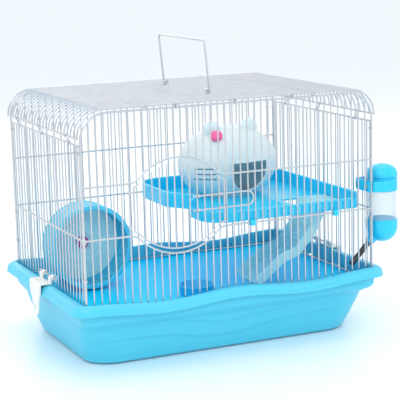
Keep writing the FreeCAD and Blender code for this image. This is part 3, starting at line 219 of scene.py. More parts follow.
trayLook = tinted((0.078, 0.60, 0.80), (0.056, 0.54, 0.75), (0.18, 0.72, 0.90), rough=0.36, coat=0.15,
                  soft=0.12)
floorLook = tinted((0.000, 0.66, 1.00), (0.000, 0.60, 0.98), (0.01, 0.74, 1.00), rough=0.45, coat=0.03,
                   relief=0.0002, shine=0.15)
deckLook = tinted((0.008, 0.60, 0.90), (0.004, 0.53, 0.86), (0.07, 0.72, 0.96), rough=0.28, soft=0.10)
# the platform's rim is painted lighter above a height of about 0.202 m, a painted highlight
platformLook = dict(deckLook, rimColour=(0.12, 0.68, 0.96, 1.0), rim=((0.506, grey(0.0)), (0.514, grey(1.0))))
# a lighter copy of the deck's blue, a painted highlight for the top of the platform's front wall
rimHighlightLook = tinted((0.10, 0.65, 0.94), (0.07, 0.59, 0.90), (0.24, 0.76, 0.98), rough=0.26, soft=0.10)
rimLook = tinted((0.060, 0.62, 0.86), (0.035, 0.55, 0.81), (0.25, 0.78, 0.96), alpha=0.90, cloud=0.08)
backLook = tinted((0.58, 0.95, 1.00), (0.48, 0.90, 0.98), (0.82, 0.98, 1.0), alpha=0.80, cloud=0.14,
                  drift=14.0)
houseLook = tinted((0.80, 0.925, 0.965), (0.70, 0.88, 0.95), (0.93, 0.98, 1.0), alpha=0.84, cloud=0.14,
                   soft=0.5, drift=16.0, rough=0.30)
rampLook = tinted((0.48, 0.88, 0.96), (0.36, 0.82, 0.94), (0.82, 0.97, 1.0), alpha=0.80, cloud=0.14, soft=0.3)
latchLook = tinted((0.86, 0.86, 0.83), (0.80, 0.80, 0.77), (0.95, 0.95, 0.93), rough=0.32, soft=0.25)
plugLook = tinted((0.90, 0.09, 0.36), (0.80, 0.05, 0.30), (0.98, 0.30, 0.50), soft=0.15)
hubLook = tinted((0.66, 0.03, 0.34), (0.52, 0.02, 0.28), (0.85, 0.15, 0.45), soft=0.15)
axleLook = tinted((0.84, 0.84, 0.84), (0.76, 0.76, 0.77), (0.93, 0.93, 0.93))
spoutLook = tinted((0.012, 0.012, 0.014), (0.020, 0.020, 0.022), (0.07, 0.07, 0.075), rough=0.22, coat=0.5)
dishLook = tinted((0.006, 0.45, 0.80), (0.003, 0.38, 0.74), (0.07, 0.58, 0.92))

trayPlastic = mouldedPlastic("trayPlastic", trayLook)
floorPlastic = mouldedPlastic("floorPlastic", floorLook)
deckPlastic = mouldedPlastic("deckPlastic", deckLook)
platformPlastic = mouldedPlastic("platformPlastic", platformLook)
lightRimPlastic = mouldedPlastic("lightRimPlastic", rimHighlightLook)
rimPlastic = mouldedPlastic("rimPlastic", rimLook)
backPlastic = mouldedPlastic("backPlastic", backLook)
housePlastic = mouldedPlastic("housePlastic", houseLook)
rampPlastic = mouldedPlastic("rampPlastic", rampLook)
latchPlastic = mouldedPlastic("latchPlastic", latchLook)
plugPlastic = mouldedPlastic("plugPlastic", plugLook)
hubPlastic = mouldedPlastic("hubPlastic", hubLook)
axlePlastic = mouldedPlastic("axlePlastic", axleLook)
spoutPlastic = mouldedPlastic("spoutPlastic", spoutLook)
dishPlastic = mouldedPlastic("dishPlastic", dishLook)
barLook = {"colour": (0.66, 0.67, 0.69, 1.0), "shade": (0.54, 0.555, 0.58, 1.0),
           "dull": (0.42, 0.435, 0.46, 1.0), "metal": 1.0, "rough": 0.24, "draw": (1.0, 1.0, 0.03)}
railLook = dict(barLook, draw=(0.03, 1.0, 1.0))
clipLook = dict(barLook, colour=(0.62, 0.62, 0.63, 1.0), rough=0.22, draw=(1.0, 0.2, 1.0))
barWire = platedWire("barWire", barLook)
roofWire = platedWire("roofWire", railLook)
clipSteel = platedWire("clipSteel", clipLook)
bottleLook = {"colour": (0.80, 0.90, 0.95, 1.0), "shade": (0.66, 0.82, 0.90, 1.0), "alpha": 0.16}
bottleClear = clearPlastic("bottleClear", bottleLook)
print("materials made")

carriedOver = {
    "front_panel_left": barWire, "front_panel_right": barWire, "front_panel_above": barWire,
    "front_panel_below": barWire, "back_panel": barWire, "left_panel": barWire, "right_panel": barWire,
    "roof_left_bend": roofWire, "roof_left_flat": roofWire, "roof_middle": roofWire,
    "roof_right_flat": roofWire, "roof_right_bend": roofWire, "carry_handle": roofWire,
    "front_door": barWire, "door_latch": roofWire, "panel_clips": clipSteel,
    "floor_plate": floorPlastic, "platform": platformPlastic, "house_shell": housePlastic,
    "house_plug": plugPlastic, "ramp": rampPlastic, "wheel_axle": axlePlastic, "wheel_stand": deckPlastic,
    "spout_tube": spoutPlastic, "spout_ball": clipSteel, "bottle_holder": deckPlastic,
    "holder_clamp": deckPlastic, "holder_screws": clipSteel,
}
for nodeName, finishMaterial in carriedOver.items():
    carried = nodes[nodeName]
    for slotNumber in range(len(carried.material_slots)):
        carried.material_slots[slotNumber].material = finishMaterial


# mesh helpers
def softSharp(bm, angle=32.0):
    # faces are smooth, and edges sharper than the angle stay crisp
    for face in bm.faces:
        face.smooth = True
    for edge in bm.edges:
        if len(edge.link_faces) == 2:
            edge.smooth = edge.calc_face_angle(0.0) < math.radians(angle)


def asObject(name, bm):
    bmesh.ops.remove_doubles(bm, verts=bm.verts, dist=0.002 * mm)
    bmesh.ops.recalc_face_normals(bm, faces=bm.faces)
    softSharp(bm)
    mesh = bpy.data.meshes.new(name)
    bm.to_mesh(mesh)
    bm.free()
    made = bpy.data.objects.new(name, mesh)
    bpy.context.scene.collection.objects.link(made)
    return made


def combine(base, tool, operation):
    # one solid from two, by a boolean whose result is kept
    step = base.modifiers.new("combine", "BOOLEAN")
    step.operation = operation
    step.solver = "EXACT"
    step.object = tool
    bpy.context.view_layer.update()
    graph = bpy.context.evaluated_depsgraph_get()
    result = bpy.data.meshes.new_from_object(base.evaluated_get(graph))
    base.modifiers.clear()
    base.data = result
    bpy.data.objects.remove(tool)
    bm = bmesh.new()
    bm.from_mesh(result)
    softSharp(bm)
    bm.to_mesh(result)
    bm.free()
    return base


def settle(piece, material, slotName, body, *replaced):
    piece.data.materials.clear()
    piece.data.materials.append(material)
    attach(piece, body)
    if replaced:
        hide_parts(*replaced)
    print("piece", piece.name, len(piece.data.polygons), "faces")


def lathe(profile, centre, axis, steps, closed):
    # turn (radius, height) points round an axis through centre
    bm = bmesh.new()
    along = Vector(axis)
    side = along.orthogonal().normalized()
    verts = [bm.verts.new(centre + (side * radius + along * height) * mm) for radius, height in profile]
    edges = [bm.edges.new(pair) for pair in zip(verts, verts[1:])]
    if closed:
        edges.append(bm.edges.new((verts[-1], verts[0])))
    bmesh.ops.spin(bm, geom=verts + edges, cent=centre, axis=along, angle=2 * math.pi, steps=steps,
                   use_merge=True)
    return bm


def arcPoints(centreRadius, centreHeight, radius, start, stop, count):
    # (radius, height) points of an arc in a lathe's profile, angles in degrees
    turns = [math.radians(start + (stop - start) * number / count) for number in range(count + 1)]
    return [(centreRadius + radius * math.cos(turn), centreHeight + radius * math.sin(turn))
            for turn in turns]


def block(bm, low, high, rounding=0.0, segments=2):
    # a box between two corners, in metres, with its edges rounded
    low = Vector(low)
    high = Vector(high)
    made = bmesh.ops.create_cube(bm, size=1.0)["verts"]
    bmesh.ops.scale(bm, vec=high - low, verts=made)
    bmesh.ops.translate(bm, vec=(low + high) / 2, verts=made)
    if rounding:
        edges = list({edge for vert in made for edge in vert.link_edges})
        bmesh.ops.bevel(bm, geom=edges, offset=rounding, segments=segments, profile=0.5, affect="EDGES",
                        material=-1)


def rod(bm, start, stop, radius, sides=10):
    start = Vector(start)
    stop = Vector(stop)
    run = stop - start
    turn = run.to_track_quat("Z", "Y").to_matrix().to_4x4()
    place = Matrix.Translation((start + stop) / 2) @ turn
    bmesh.ops.create_cone(bm, cap_ends=True, segments=sides, radius1=radius, radius2=radius, depth=run.length,
                          matrix=place)


def beading(name, points, radius, cyclic):
    # a round bead along a smooth line of points, kept as a mesh
    line = bpy.data.curves.new(name, "CURVE")
    line.dimensions = "3D"
    line.bevel_depth = radius
    line.bevel_resolution = 3
    line.resolution_u = 4
    spline = line.splines.new("POLY")
    spline.points.add(len(points) - 1)
    for number, point in enumerate(points):
        spline.points[number].co = (*point, 1.0)
    spline.use_cyclic_u = cyclic
    line.use_fill_caps = not cyclic
    holder = bpy.data.objects.new(name, line)
    bpy.context.scene.collection.objects.link(holder)
    bpy.context.view_layer.update()
    graph = bpy.context.evaluated_depsgraph_get()
    mesh = bpy.data.meshes.new_from_object(holder.evaluated_get(graph))
    bpy.data.objects.remove(holder)
    bm = bmesh.new()
    bm.from_mesh(mesh)
    return asObject(name, bm)


# tray
trayShape = {
    "belly": (217.0, 146.0, 36.0),      # half length, half width and corner radius under the skirt
    "foot": (203.0, 127.0, 44.0),
    "footHigh": 10.0,
    "skirt": (221.0, 156.0, 18.0),
    "skirtFrom": 56.0,
    "skirtFull": 70.0,
    "channel": (218.5, 153.5, 6.0),
    "ledge": (214.5, 143.5, 33.5),
    "ledgeHigh": 71.0,
    "lipWave": 3.5,                     # half the dip of the wavy lip
    "waveLength": 215.0,
    "stepDepth": 2.4,                   # of each sculpted wave in the long sides
    "stepSoft": 3.0,
    "levelStep": 1.5,
    # each sculpted wave: level, height, middle, spread to the left and to the right
    "upperWave": (66.0, 21.0, -12.0, 75.0, 110.0),
    "lowerWave": (38.0, 15.0, -10.0, 76.0, 76.0),
    "footTurns": (0.0, 18.0, 36.0, 54.0, 72.0),
    "footReach": 12.0,
    "bellyTop": 63.0,
    "bellyBend": 0.85,
    "skirtTop": 79.5,
    "wall": 2.5,
    "slotFrom": (216.0, 34.0, 72.5),
    "slotSize": (8.0, 15.0, 4.5),
    "lipReach": 16.5,
    "lipSideReach": 11.5,
    "lipEnd": (235.0, 165.0),
    # reach in from the outer edge of the lip, corner radius, level
    "lip": (
        (13.4, 18.5, 81.8), (11.5, 19.0, 82.4), (3.4, 22.5, 82.5), (1.8, 23.2, 81.9), (0.6, 23.6, 82.2),
        (0.0, 24.0, 83.2), (0.15, 24.0, 84.6), (0.9, 23.6, 85.4), (0.9, 23.4, 87.4), (1.6, 22.6, 90.0),
        (3.2, 21.0, 92.4), (5.6, 19.0, 94.2), (8.6, 16.5, 95.4), (11.8, 13.0, 96.0), (14.2, 10.0, 95.9),
        (15.8, 8.0, 95.1), (16.5, 6.6, 93.8),
    ),
    "longCuts": 96,
    "shortCuts": 40,
    "cornerSteps": 10,
}


def smoothStep(value):
    share = min(max(value, 0.0), 1.0)
    return share * share * (3 - 2 * share)


def lipDip(x):
    if abs(x) > trayShape["waveLength"]:
        return 0.0
    return trayShape["lipWave"] * (1 - math.cos(2 * math.pi * x / trayShape["waveLength"]))


def waveLevel(x, wave):
    level, height, middle, leftSpread, rightSpread = trayShape[wave]
    spread = leftSpread if x < middle else rightSpread
    return level - height * math.exp(-(((x - middle) / spread) ** 2))


def waveInset(x, level):
    # how far the long sides are drawn in below the two wave lines
    soft = trayShape["stepSoft"]
    upper = 1 - smoothStep((level - waveLevel(x, "upperWave")) / soft + 0.5)
    lower = 1 - smoothStep((level - waveLevel(x, "lowerWave")) / soft + 0.5)
    return trayShape["stepDepth"] * (upper + lower)


def trayRing(bm, halfLong, halfWide, corner, level, lipShare=0.0, sculpted=False):
    before = set(bm.edges)
    spots = ((-halfLong, -halfWide), (halfLong, -halfWide), (halfLong, halfWide), (-halfLong, halfWide))
    corners = [bm.verts.new((x * mm, y * mm, level * mm)) for x, y in spots]
    bm.faces.new(corners)
    bmesh.ops.bevel(bm, geom=corners, offset=corner * mm, offset_type="OFFSET",
                    segments=trayShape["cornerSteps"], profile=0.5, affect="VERTICES", material=-1)
    made = [edge for edge in bm.edges if edge not in before]
    face = made[0].link_faces[0]
    bmesh.ops.delete(bm, geom=[face], context="FACES_ONLY")
    for direction, cuts in ((0, trayShape["longCuts"]), (1, trayShape["shortCuts"])):
        straight = [edge for edge in made if edge.is_valid and
                    abs((edge.verts[0].co - edge.verts[1].co)[1 - direction]) < tiny]
        bmesh.ops.subdivide_edges(bm, edges=straight, cuts=cuts)
    ring = [edge for edge in bm.edges if edge not in before]
    for vert in {vert for edge in ring for vert in edge.verts}:
        x = vert.co.x / mm
        y = vert.co.y / mm
        vert.co.z -= lipShare * lipDip(x) * mm
        if sculpted:
            share = smoothStep((abs(y) - (halfWide - corner)) / corner)
            vert.co.y -= math.copysign(waveInset(x, level) * share * mm, y)
    return ring


def trayLevels():
    # (half length, half width, corner, level, share of the lip's wave, sculpted) from the foot to the inside
    foot = trayShape["foot"]
    belly = trayShape["belly"]
    skirt = trayShape["skirt"]
    high = trayShape["footHigh"]
    skirtFrom = trayShape["skirtFrom"]
    levels = []
    for turn in trayShape["footTurns"]:
        drawn = trayShape["footReach"] * (1 - math.sin(math.radians(turn)))
        rise = high * (1 - math.cos(math.radians(turn)))
        levels.append((foot[0] - drawn, foot[1] - drawn, foot[2] - drawn, rise, 0.0, True))
    level = high
    while level < trayShape["skirtFull"]:
        share = min((level - high) / (trayShape["bellyTop"] - high), 1.0) ** trayShape["bellyBend"]
        size = [foot[i] + (belly[i] - foot[i]) * share for i in range(3)]
        flare = smoothStep((level - skirtFrom) / (trayShape["skirtFull"] - skirtFrom))
        size = [size[i] + (skirt[i] - size[i]) * flare for i in range(3)]
        levels.append((*size, level, 0.0, True))
        level += trayShape["levelStep"]
    levels.append((*skirt, trayShape["ledgeHigh"], 0.0, False))
    levels.append((*skirt, trayShape["skirtTop"], 0.6, False))
    endX, endY = trayShape["lipEnd"]
    sideReach = trayShape["lipSideReach"]
    for reach, corner, level in trayShape["lip"]:
        side = min(reach * sideReach / trayShape["lipReach"], sideReach)
        levels.append((endX - reach, endY - side, corner, level, 1.0, False))
    channel = trayShape["channel"]
    ledge = trayShape["ledge"]
    levels.append((*channel, 84.0, 0.5, False))
    levels.append((*channel, trayShape["ledgeHigh"], 0.0, False))
    levels.append((*ledge, trayShape["ledgeHigh"], 0.0, False))
    wall = trayShape["wall"]
    levels.append((ledge[0] - wall, ledge[1] - 7.0, ledge[2], 50.0, 0.0, False))
    levels.append((foot[0] - wall, foot[1] - 8.0, foot[2] - wall, high + wall, 0.0, False))
    levels.append((foot[0] - 14.0, foot[1] - 20.0, foot[2] - 14.0, 2.6, 0.0, False))
    return levels


def buildTray():
    bm = bmesh.new()
    rings = [trayRing(bm, *level) for level in trayLevels()]
    for first, second in zip(rings, rings[1:]):
        bmesh.ops.bridge_loops(bm, edges=first + second)
    for ring in (rings[0], rings[-1]):
        bmesh.ops.holes_fill(bm, edges=ring, sides=0)
    tray = asObject("trayShell", bm)
    for end in (-1, 1):
        for side in (-1, 1):
            slotBm = bmesh.new()
            mirror = Vector((end, side, 1.0)) * mm
            near = Vector(trayShape["slotFrom"]) * mirror
            block(slotBm, near, near + Vector(trayShape["slotSize"]) * mirror)
            tray = combine(tray, asObject("slotCutter", slotBm), "DIFFERENCE")
    settle(tray, trayPlastic, "tray_blue", "tray", "base_tray")


buildTray()


# wheel
wheelShape = {
    "radius": 60.0,
    "wall": 2.0,
    "flange": 6.5,
    "treads": 45,
    "ribs": 60,
    "steps": 96,
}


def buildWheel():
    low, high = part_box("wheel_drum")
    centre = (low + high) / 2
    centre.y = low.y
    deep = (high.y - low.y) / mm
    radius = wheelShape["radius"]
    wall = wheelShape["wall"]
    axis = (0, 1, 0)
    lip = radius - wheelShape["flange"]
    ring = [(lip, 0.9), (lip + 0.9, 0.1), (radius - 1.6, 0.0), (radius - 0.3, 0.5), (radius, 1.8),
            (radius, 4.2), (radius - 0.7, 4.8), (radius - 0.7, deep - 5.0), (radius, deep - 4.4),
            (radius, deep - 1.2), (radius - 0.8, deep), (radius - 5.5, deep),
            (radius - 5.5, deep - wall), (radius - wall, deep - wall), (radius - wall, wall),
            (lip + 0.9, wall), (lip, wall - 0.5)]
    bm = lathe(ring, centre, axis, wheelShape["steps"], True)
    settle(asObject("wheelRim", bm), rimPlastic, "wheel_clear", "wheel", "wheel_drum")

    bm = bmesh.new()
    for number in range(wheelShape["treads"]):
        turn = 2 * math.pi * number / wheelShape["treads"]
        out = Vector((math.cos(turn), 0, math.sin(turn)))
        start = centre + out * (radius - wall - 0.3) * mm + Vector((0, wall * mm, 0))
        rod(bm, start, start + Vector((0, (deep - 2 * wall) * mm, 0)), 1.1 * mm, 8)
    for number in range(wheelShape["ribs"]):
        turn = 2 * math.pi * number / wheelShape["ribs"]
        out = Vector((math.cos(turn), 0, math.sin(turn)))
        start = centre + out * (radius - 0.75) * mm + Vector((0, 4.6 * mm, 0))
        rod(bm, start, start + Vector((0, (deep - 9.4) * mm, 0)), 0.7 * mm, 6)
    settle(asObject("wheelTreads", bm), rimPlastic, "wheel_clear", "wheel")

    plate = [(7.2, deep - wall), (12.0, deep - wall), (12.8, deep - wall - 0.8), (14.6, deep - wall - 0.8),
             (15.4, deep - wall), (30.0, deep - wall - 0.1), (30.8, deep - wall - 0.9),
             (32.2, deep - wall - 0.9), (33.0, deep - wall - 0.1), (48.0, deep - wall),
             (radius - 5.6, deep - wall), (radius - 5.6, deep - 0.2), (7.2, deep - 0.2)]
    bm = lathe(plate, centre, axis, wheelShape["steps"], True)
    settle(asObject("wheelBack", bm), backPlastic, "wheel_clear", "wheel")

    low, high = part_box("wheel_hub")
    hubCentre = (low + high) / 2
    hubCentre.y = low.y
    cap = [(2.55, 0.6), (3.2, 0.0), (6.4, 0.0)] + arcPoints(6.4, 2.4, 2.4, -90, 0, 5) + [
        (8.95, 6.0), (7.1, 6.1), (7.0, 10.0), (2.55, 10.0)]
    bm = lathe(cap, hubCentre, axis, 48, True)
    for number in range(6):
        turn = 2 * math.pi * number / 6
        out = Vector((math.cos(turn), 0, math.sin(turn)))
        start = hubCentre + out * 7.0 * mm
        rod(bm, start + Vector((0, 0.4 * mm, 0)), start + Vector((0, 5.6 * mm, 0)), 1.95 * mm, 12)
    settle(asObject("wheelHub", bm), hubPlastic, "hub_pink", "wheel", "wheel_hub")


buildWheel()


# bottle
bottleShape = {"radius": 22.5, "wall": 1.6, "steps": 72}


def buildBottle():
    radius = bottleShape["radius"]
    wall = bottleShape["wall"]
    steps = bottleShape["steps"]
    axis = (0, 0, 1)
    spot = centreOf("bottle_top")
    spot.z = 0.0
    curve = [(radius * math.sin(math.radians(turn)), 223.0 + 16.0 * math.cos(math.radians(turn)) ** 0.8)
             for turn in (0, 12, 24, 36, 48, 60, 70, 80, 86)]
    outside = [(0.0, 239.0)] + curve[1:] + [(radius, 222.6), (radius, 221.6), (radius - 0.5, 221.0),
               (radius - 1.5, 220.8), (radius - 1.5, 219.4), (radius - 0.4, 219.1), (radius, 218.5),
               (radius, 214.6), (radius - 0.6, 214.1), (radius - 0.6, 213.3), (radius, 212.8),
               (radius, 208.6), (radius - 0.6, 208.1), (radius - 0.6, 207.3), (radius, 206.8),
               (radius, 201.6), (radius - 0.4, 201.0)]
    inside = [(radius - wall, 201.0), (radius - wall, 221.0)] + [
        (max(r - wall, 0.0), z - wall) for r, z in reversed(curve[1:])] + [(0.0, 239.0 - wall)]
    bm = lathe(outside + inside, spot, axis, steps, False)
    settle(asObject("bottleCap", bm), deckPlastic, "platform_blue", "bottle", "bottle_top")

    outer = radius - 1.0
    profile = [(outer - wall, 160.2), (outer, 160.2), (outer, 170.0), (outer - 0.35, 171.0), (outer, 172.0),
               (outer, 190.0), (outer - 0.35, 191.0), (outer, 192.0), (outer, 201.0), (outer - 0.2, 204.8),
               (outer - wall, 204.8)]
    bm = lathe(profile, spot, axis, steps, True)
    settle(asObject("bottleWall", bm), bottleClear, "bottle_clear", "bottle", "bottle_body")

    bowlLine = [(radius * math.sin(math.radians(turn)), 149.0 - 23.0 * math.cos(math.radians(turn)) ** 0.9)
                for turn in (0, 10, 20, 30, 40, 50, 60, 70, 80, 88)]
    outside = bowlLine + [(radius, 150.0), (radius, 158.6), (radius - 0.5, 159.6), (radius - wall, 160.0)]
    inside = [(radius - wall, 150.0)] + [(max(r - wall, 0.0), z + wall) for r, z in reversed(bowlLine)]
    bm = lathe(outside + inside, spot, axis, steps, False)
    settle(asObject("bottleBowl", bm), deckPlastic, "platform_blue", "bottle", "bottle_bowl")

    down = Vector((-1, 0, -1)).normalized()
    root = spot + Vector((0, 0, (126.0 + radius) * mm)) + down * (radius - 1.5) * mm
    collar = [(4.1, 0.0), (7.4, 0.0), (7.4, 2.6), (6.6, 3.0), (6.6, 4.0), (7.2, 4.4), (7.2, 6.4), (6.4, 6.8),
              (6.4, 8.2), (5.4, 10.4), (4.1, 10.8)]
    bm = lathe(collar, root, down, 32, True)
    settle(asObject("spoutCollar", bm), deckPlastic, "platform_blue", "bottle")


buildBottle()


# side latches
latchShape = {
    "outline": ((-22.5, 99.4), (22.5, 99.4), (22.5, 86.0), (12.5, 72.0), (10.6, 50.8), (-10.6, 50.8),
                (-12.5, 72.0), (-22.5, 86.0)),
    "rounding": (4.0, 4.0, 9.0, 9.0, 9.8, 9.8, 9.0, 9.0),
    "leverFrom": 235.6,
    "leverTo": 238.5,
    "shoulderFrom": 220.4,
    "shoulderLow": 96.6,
    "prongs": (-18.75, 18.75),
    "prongWidth": 8.4,
    "hole": (0.0, 62.5, 3.4),
    "pivot": (216.9, 106.0),
    "knuckle": 3.25,
    "bore": 1.36,
}


def buildLatch(name, end, body, node):
    bm = bmesh.new()
    near = end * latchShape["leverFrom"] * mm
    verts = [bm.verts.new((near, y * mm, z * mm)) for y, z in latchShape["outline"]]
    bm.faces.new(verts)
    for vert, rounding in zip(verts, latchShape["rounding"]):
        bmesh.ops.bevel(bm, geom=[vert], offset=rounding * mm, offset_type="OFFSET", segments=6, profile=0.5,
                        affect="VERTICES", material=-1)
    thick = (latchShape["leverTo"] - latchShape["leverFrom"]) * mm
    out = bmesh.ops.extrude_face_region(bm, geom=list(bm.faces))["geom"]
    moved = [item for item in out if isinstance(item, bmesh.types.BMVert)]
    bmesh.ops.translate(bm, vec=(end * thick, 0, 0), verts=moved)
    rims = [edge for edge in bm.edges if abs(edge.verts[0].co.x - edge.verts[1].co.x) < tiny]
    bmesh.ops.bevel(bm, geom=rims, offset=0.8 * mm, segments=3, profile=0.5, affect="EDGES", material=-1,
                    clamp_overlap=True)
    lever = asObject(name, bm)

    def span(first, second):
        return sorted((first * end * mm, second * end * mm))

    bm = bmesh.new()
    near, far = span(latchShape["shoulderFrom"], 237.2)
    block(bm, (near, -22.0 * mm, latchShape["shoulderLow"] * mm), (far, 22.0 * mm, 99.4 * mm), 0.8 * mm, 3)
    lever = combine(lever, asObject("shoulder", bm), "UNION")
    pivotX = end * latchShape["pivot"][0] * mm
    pivotZ = latchShape["pivot"][1] * mm
    half = latchShape["prongWidth"] / 2 * mm
    knuckle = latchShape["knuckle"] * mm
    for y in latchShape["prongs"]:
        bm = bmesh.new()
        near, far = span(218.9, 223.4)
        block(bm, (near, y * mm - half, 97.4 * mm), (far, y * mm + half, 107.6 * mm), 1.2 * mm, 3)
        lever = combine(lever, asObject("prong", bm), "UNION")
        bm = bmesh.new()
        rod(bm, (pivotX, y * mm - half, pivotZ), (pivotX, y * mm + half, pivotZ), knuckle, 32)
        lever = combine(lever, asObject("knuckle", bm), "UNION")
    bm = bmesh.new()
    rod(bm, (pivotX, -40.0 * mm, pivotZ), (pivotX, 40.0 * mm, pivotZ), latchShape["bore"] * mm, 24)
    lever = combine(lever, asObject("pinBore", bm), "DIFFERENCE")
    y, z, radius = (value * mm for value in latchShape["hole"])
    bm = bmesh.new()
    rod(bm, (end * 230.0 * mm, y, z), (end * 245.0 * mm, y, z), radius, 32)
    lever = combine(lever, asObject("leverHole", bm), "DIFFERENCE")
    settle(lever, latchPlastic, "latch_white", body, node)


buildLatch("leftLatch", -1, "left_latch", "left_latch")
buildLatch("rightLatch", 1, "right_latch", "right_latch")


# food dish
dishShape = {"foot": 22.6, "flare": 26.0, "high": 14.0, "wall": 2.0}


def buildDish():
    low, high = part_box("food_dish")
    spot = (low + high) / 2
    spot.z = low.z
    foot = dishShape["foot"]
    flare = dishShape["flare"]
    tall = dishShape["high"]
    wall = dishShape["wall"]
    profile = [(0.0, 0.6), (foot - 3.0, 0.6), (foot - 2.2, 0.0), (foot - 0.6, 0.0), (foot, 0.6),
               (flare - 1.9, tall - 2.2), (flare - 0.5, tall - 1.7), (flare, tall - 1.0),
               (flare - 0.5, tall - 0.3), (flare - 1.4, tall), (flare - 2.6, tall - 0.3),
               (flare - 3.2, tall - 1.2), (foot - wall, wall + 1.6), (foot - wall - 1.6, wall),
               (0.0, wall)]
    bm = lathe(profile, spot, (0, 0, 1), 64, False)
    settle(asObject("foodBowl", bm), dishPlastic, "dish_blue", "dish", "food_dish")


buildDish()


# house trim, on the carried-over shell
houseShape = {
    "centre": (85.0, 48.0, 231.5),
    "half": (78.0, 58.0, 56.0),
    "turn": 2.0,
    "doorX": 9.75,
    "doorHalf": 30.0,
    "doorMiddle": 222.5,
    "doorTop": 238.5,
    "doorCorner": 2.0,
    "bead": 1.5,
}


def housePoint(x, z):
    # a point of the dome's front at a sideways place and a height, in the house's own frame
    half = houseShape["half"]
    up = z - houseShape["centre"][2]
    inside = max(1 - (x / half[0]) ** 2 - (up / half[2]) ** 2, 0.0)
    return Vector((x, -half[1] * math.sqrt(inside), up))


def buildHouseTrim():
    centre = Vector(houseShape["centre"])
    turn = Matrix.Rotation(math.radians(houseShape["turn"]), 4, "Z")
    x = houseShape["doorX"]
    half = houseShape["doorHalf"]
    middle = houseShape["doorMiddle"]
    top = houseShape["doorTop"]
    corner = houseShape["doorCorner"]
    outline = [(x + half * math.cos(math.radians(turnAt)), middle + half * math.sin(math.radians(turnAt)))
               for turnAt in range(180, 361, 9)]
    outline += [(x + half, middle + (top - corner - middle) * share) for share in (0.33, 0.66, 1.0)]
    outline += [(x + half - corner + corner * math.cos(math.radians(turnAt)),
                 top - corner + corner * math.sin(math.radians(turnAt))) for turnAt in (30, 60, 90)]
    outline += [(x + (half - corner) * (1 - 2 * share), top) for share in (0.15, 0.35, 0.5, 0.65, 0.85, 1.0)]
    outline += [(x - half + corner + corner * math.cos(math.radians(turnAt)),
                 top - corner + corner * math.sin(math.radians(turnAt))) for turnAt in (120, 150, 180)]
    outline += [(x - half, middle + (top - corner - middle) * share) for share in (0.66, 0.33)]
    points = [(centre + turn @ housePoint(*spot)) * mm for spot in outline]
    bead = beading("houseDoorBead", points, houseShape["bead"] * mm, True)
    settle(bead, housePlastic, "house_milky", "cover")

    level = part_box("house_shell")[0].z / mm
    halfX, halfY, halfZ = houseShape["half"]
    drop = max(1 - ((level + 1.2 - centre.z) / halfZ) ** 2, 0.0) ** 0.5
    ring = [Vector((halfX * drop * math.cos(angle), halfY * drop * math.sin(angle), level + 1.3 - centre.z))
            for angle in [math.radians(step * 6) for step in range(60)]]
    points = [(centre + turn @ spot) * mm for spot in ring]
    settle(beading("houseFoot", points, 1.3 * mm, True), housePlastic, "house_milky", "cover")


buildHouseTrim()


# platform and ramp details
deckShape = {
    "ridge": 0.7,
    "top": 184.5,
    "tooth": 2.6,
    "toothFront": -144.9,
    "toothLow": 182.3,
    "toothHigh": 194.6,
    "firstTooth": 21,
    "lastTooth": 37,
    "barStep": 10.75,
    "barStart": -215.0,
    "hooks": (22, 34),
    "beadFrom": (0.0, -143.7, 195.6),
    "beadTo": (188.0, -143.7, 195.6),
    "bead": 1.5,
    # Y, start and stop along X of each front ridge
    "frontRidges": ((-136.0, 14.0, 182.0), (-130.0, 12.0, 182.0), (-124.0, 12.0, 182.0),
                    (-118.0, 12.0, 182.0)),
    # Y of the first left ridge, spacing, number, start and stop along X
    "leftRidges": (-112.0, 6.0, 12, 16.0, 116.0),
}


def buildDeckRidges():
    top = deckShape["top"] * mm
    bm = bmesh.new()
    rows = list(deckShape["frontRidges"])
    firstRow, spacing, count, rowStart, rowStop = deckShape["leftRidges"]
    rows += [(firstRow + spacing * number, rowStart, rowStop) for number in range(count)]
    for y, start, stop in rows:
        rod(bm, (start * mm, y * mm, top), (stop * mm, y * mm, top), deckShape["ridge"] * mm, 8)
    settle(asObject("deckRidges", bm), deckPlastic, "platform_blue", "cover")


def buildDeckFront():
    # half-round teeth between the bars, under a bead; both are in a lighter copy of the deck's blue, a
    # painted highlight along the top of the front wall
    bm = bmesh.new()
    for number in range(deckShape["firstTooth"], deckShape["lastTooth"]):
        if number in deckShape["hooks"]:
            continue
        x = deckShape["barStart"] + (number + 0.5) * deckShape["barStep"]
        foot = Vector((x, deckShape["toothFront"], deckShape["toothLow"])) * mm
        head = Vector((x, deckShape["toothFront"], deckShape["toothHigh"])) * mm
        rod(bm, foot, head, deckShape["tooth"] * mm, 20)
    settle(asObject("deckTeeth", bm), lightRimPlastic, "platform_blue", "cover")
    bm = bmesh.new()
    rod(bm, Vector(deckShape["beadFrom"]) * mm, Vector(deckShape["beadTo"]) * mm, deckShape["bead"] * mm, 16)
    settle(asObject("deckFrontBead", bm), lightRimPlastic, "platform_blue", "cover")


rampShape = {"tread": 0.8, "spacing": 6.5, "halfWidth": 26.5, "from": 6.0, "to": 112.0, "above": 12.0,
             "steepest": 0.15}


def buildRampTreads():
    ramp = nodes["ramp"]
    tree = BVHTree.FromPolygons([vert.co.copy() for vert in ramp.data.vertices],
                                [tuple(face.vertices) for face in ramp.data.polygons])
    low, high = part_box("ramp")
    middle = (low.y + high.y) / 2
    bm = bmesh.new()
    step = rampShape["spacing"] * mm
    side = Vector((0, rampShape["halfWidth"] * mm, 0))
    x = low.x + rampShape["from"] * mm
    while x < low.x + rampShape["to"] * mm:
        start = Vector((x, middle, high.z - rampShape["above"] * mm))
        spot, normal, face, distance = tree.ray_cast(start, Vector((0, 0, -1)))
        if spot is not None and normal.z > rampShape["steepest"]:
            rod(bm, spot - side, spot + side, rampShape["tread"] * mm, 8)
            x += step * max(normal.z, 0.3)
        else:
            x += step / 3
    settle(asObject("rampTreads", bm), rampPlastic, "ramp_milky", "cover")


buildDeckRidges()
buildDeckFront()
buildRampTreads()


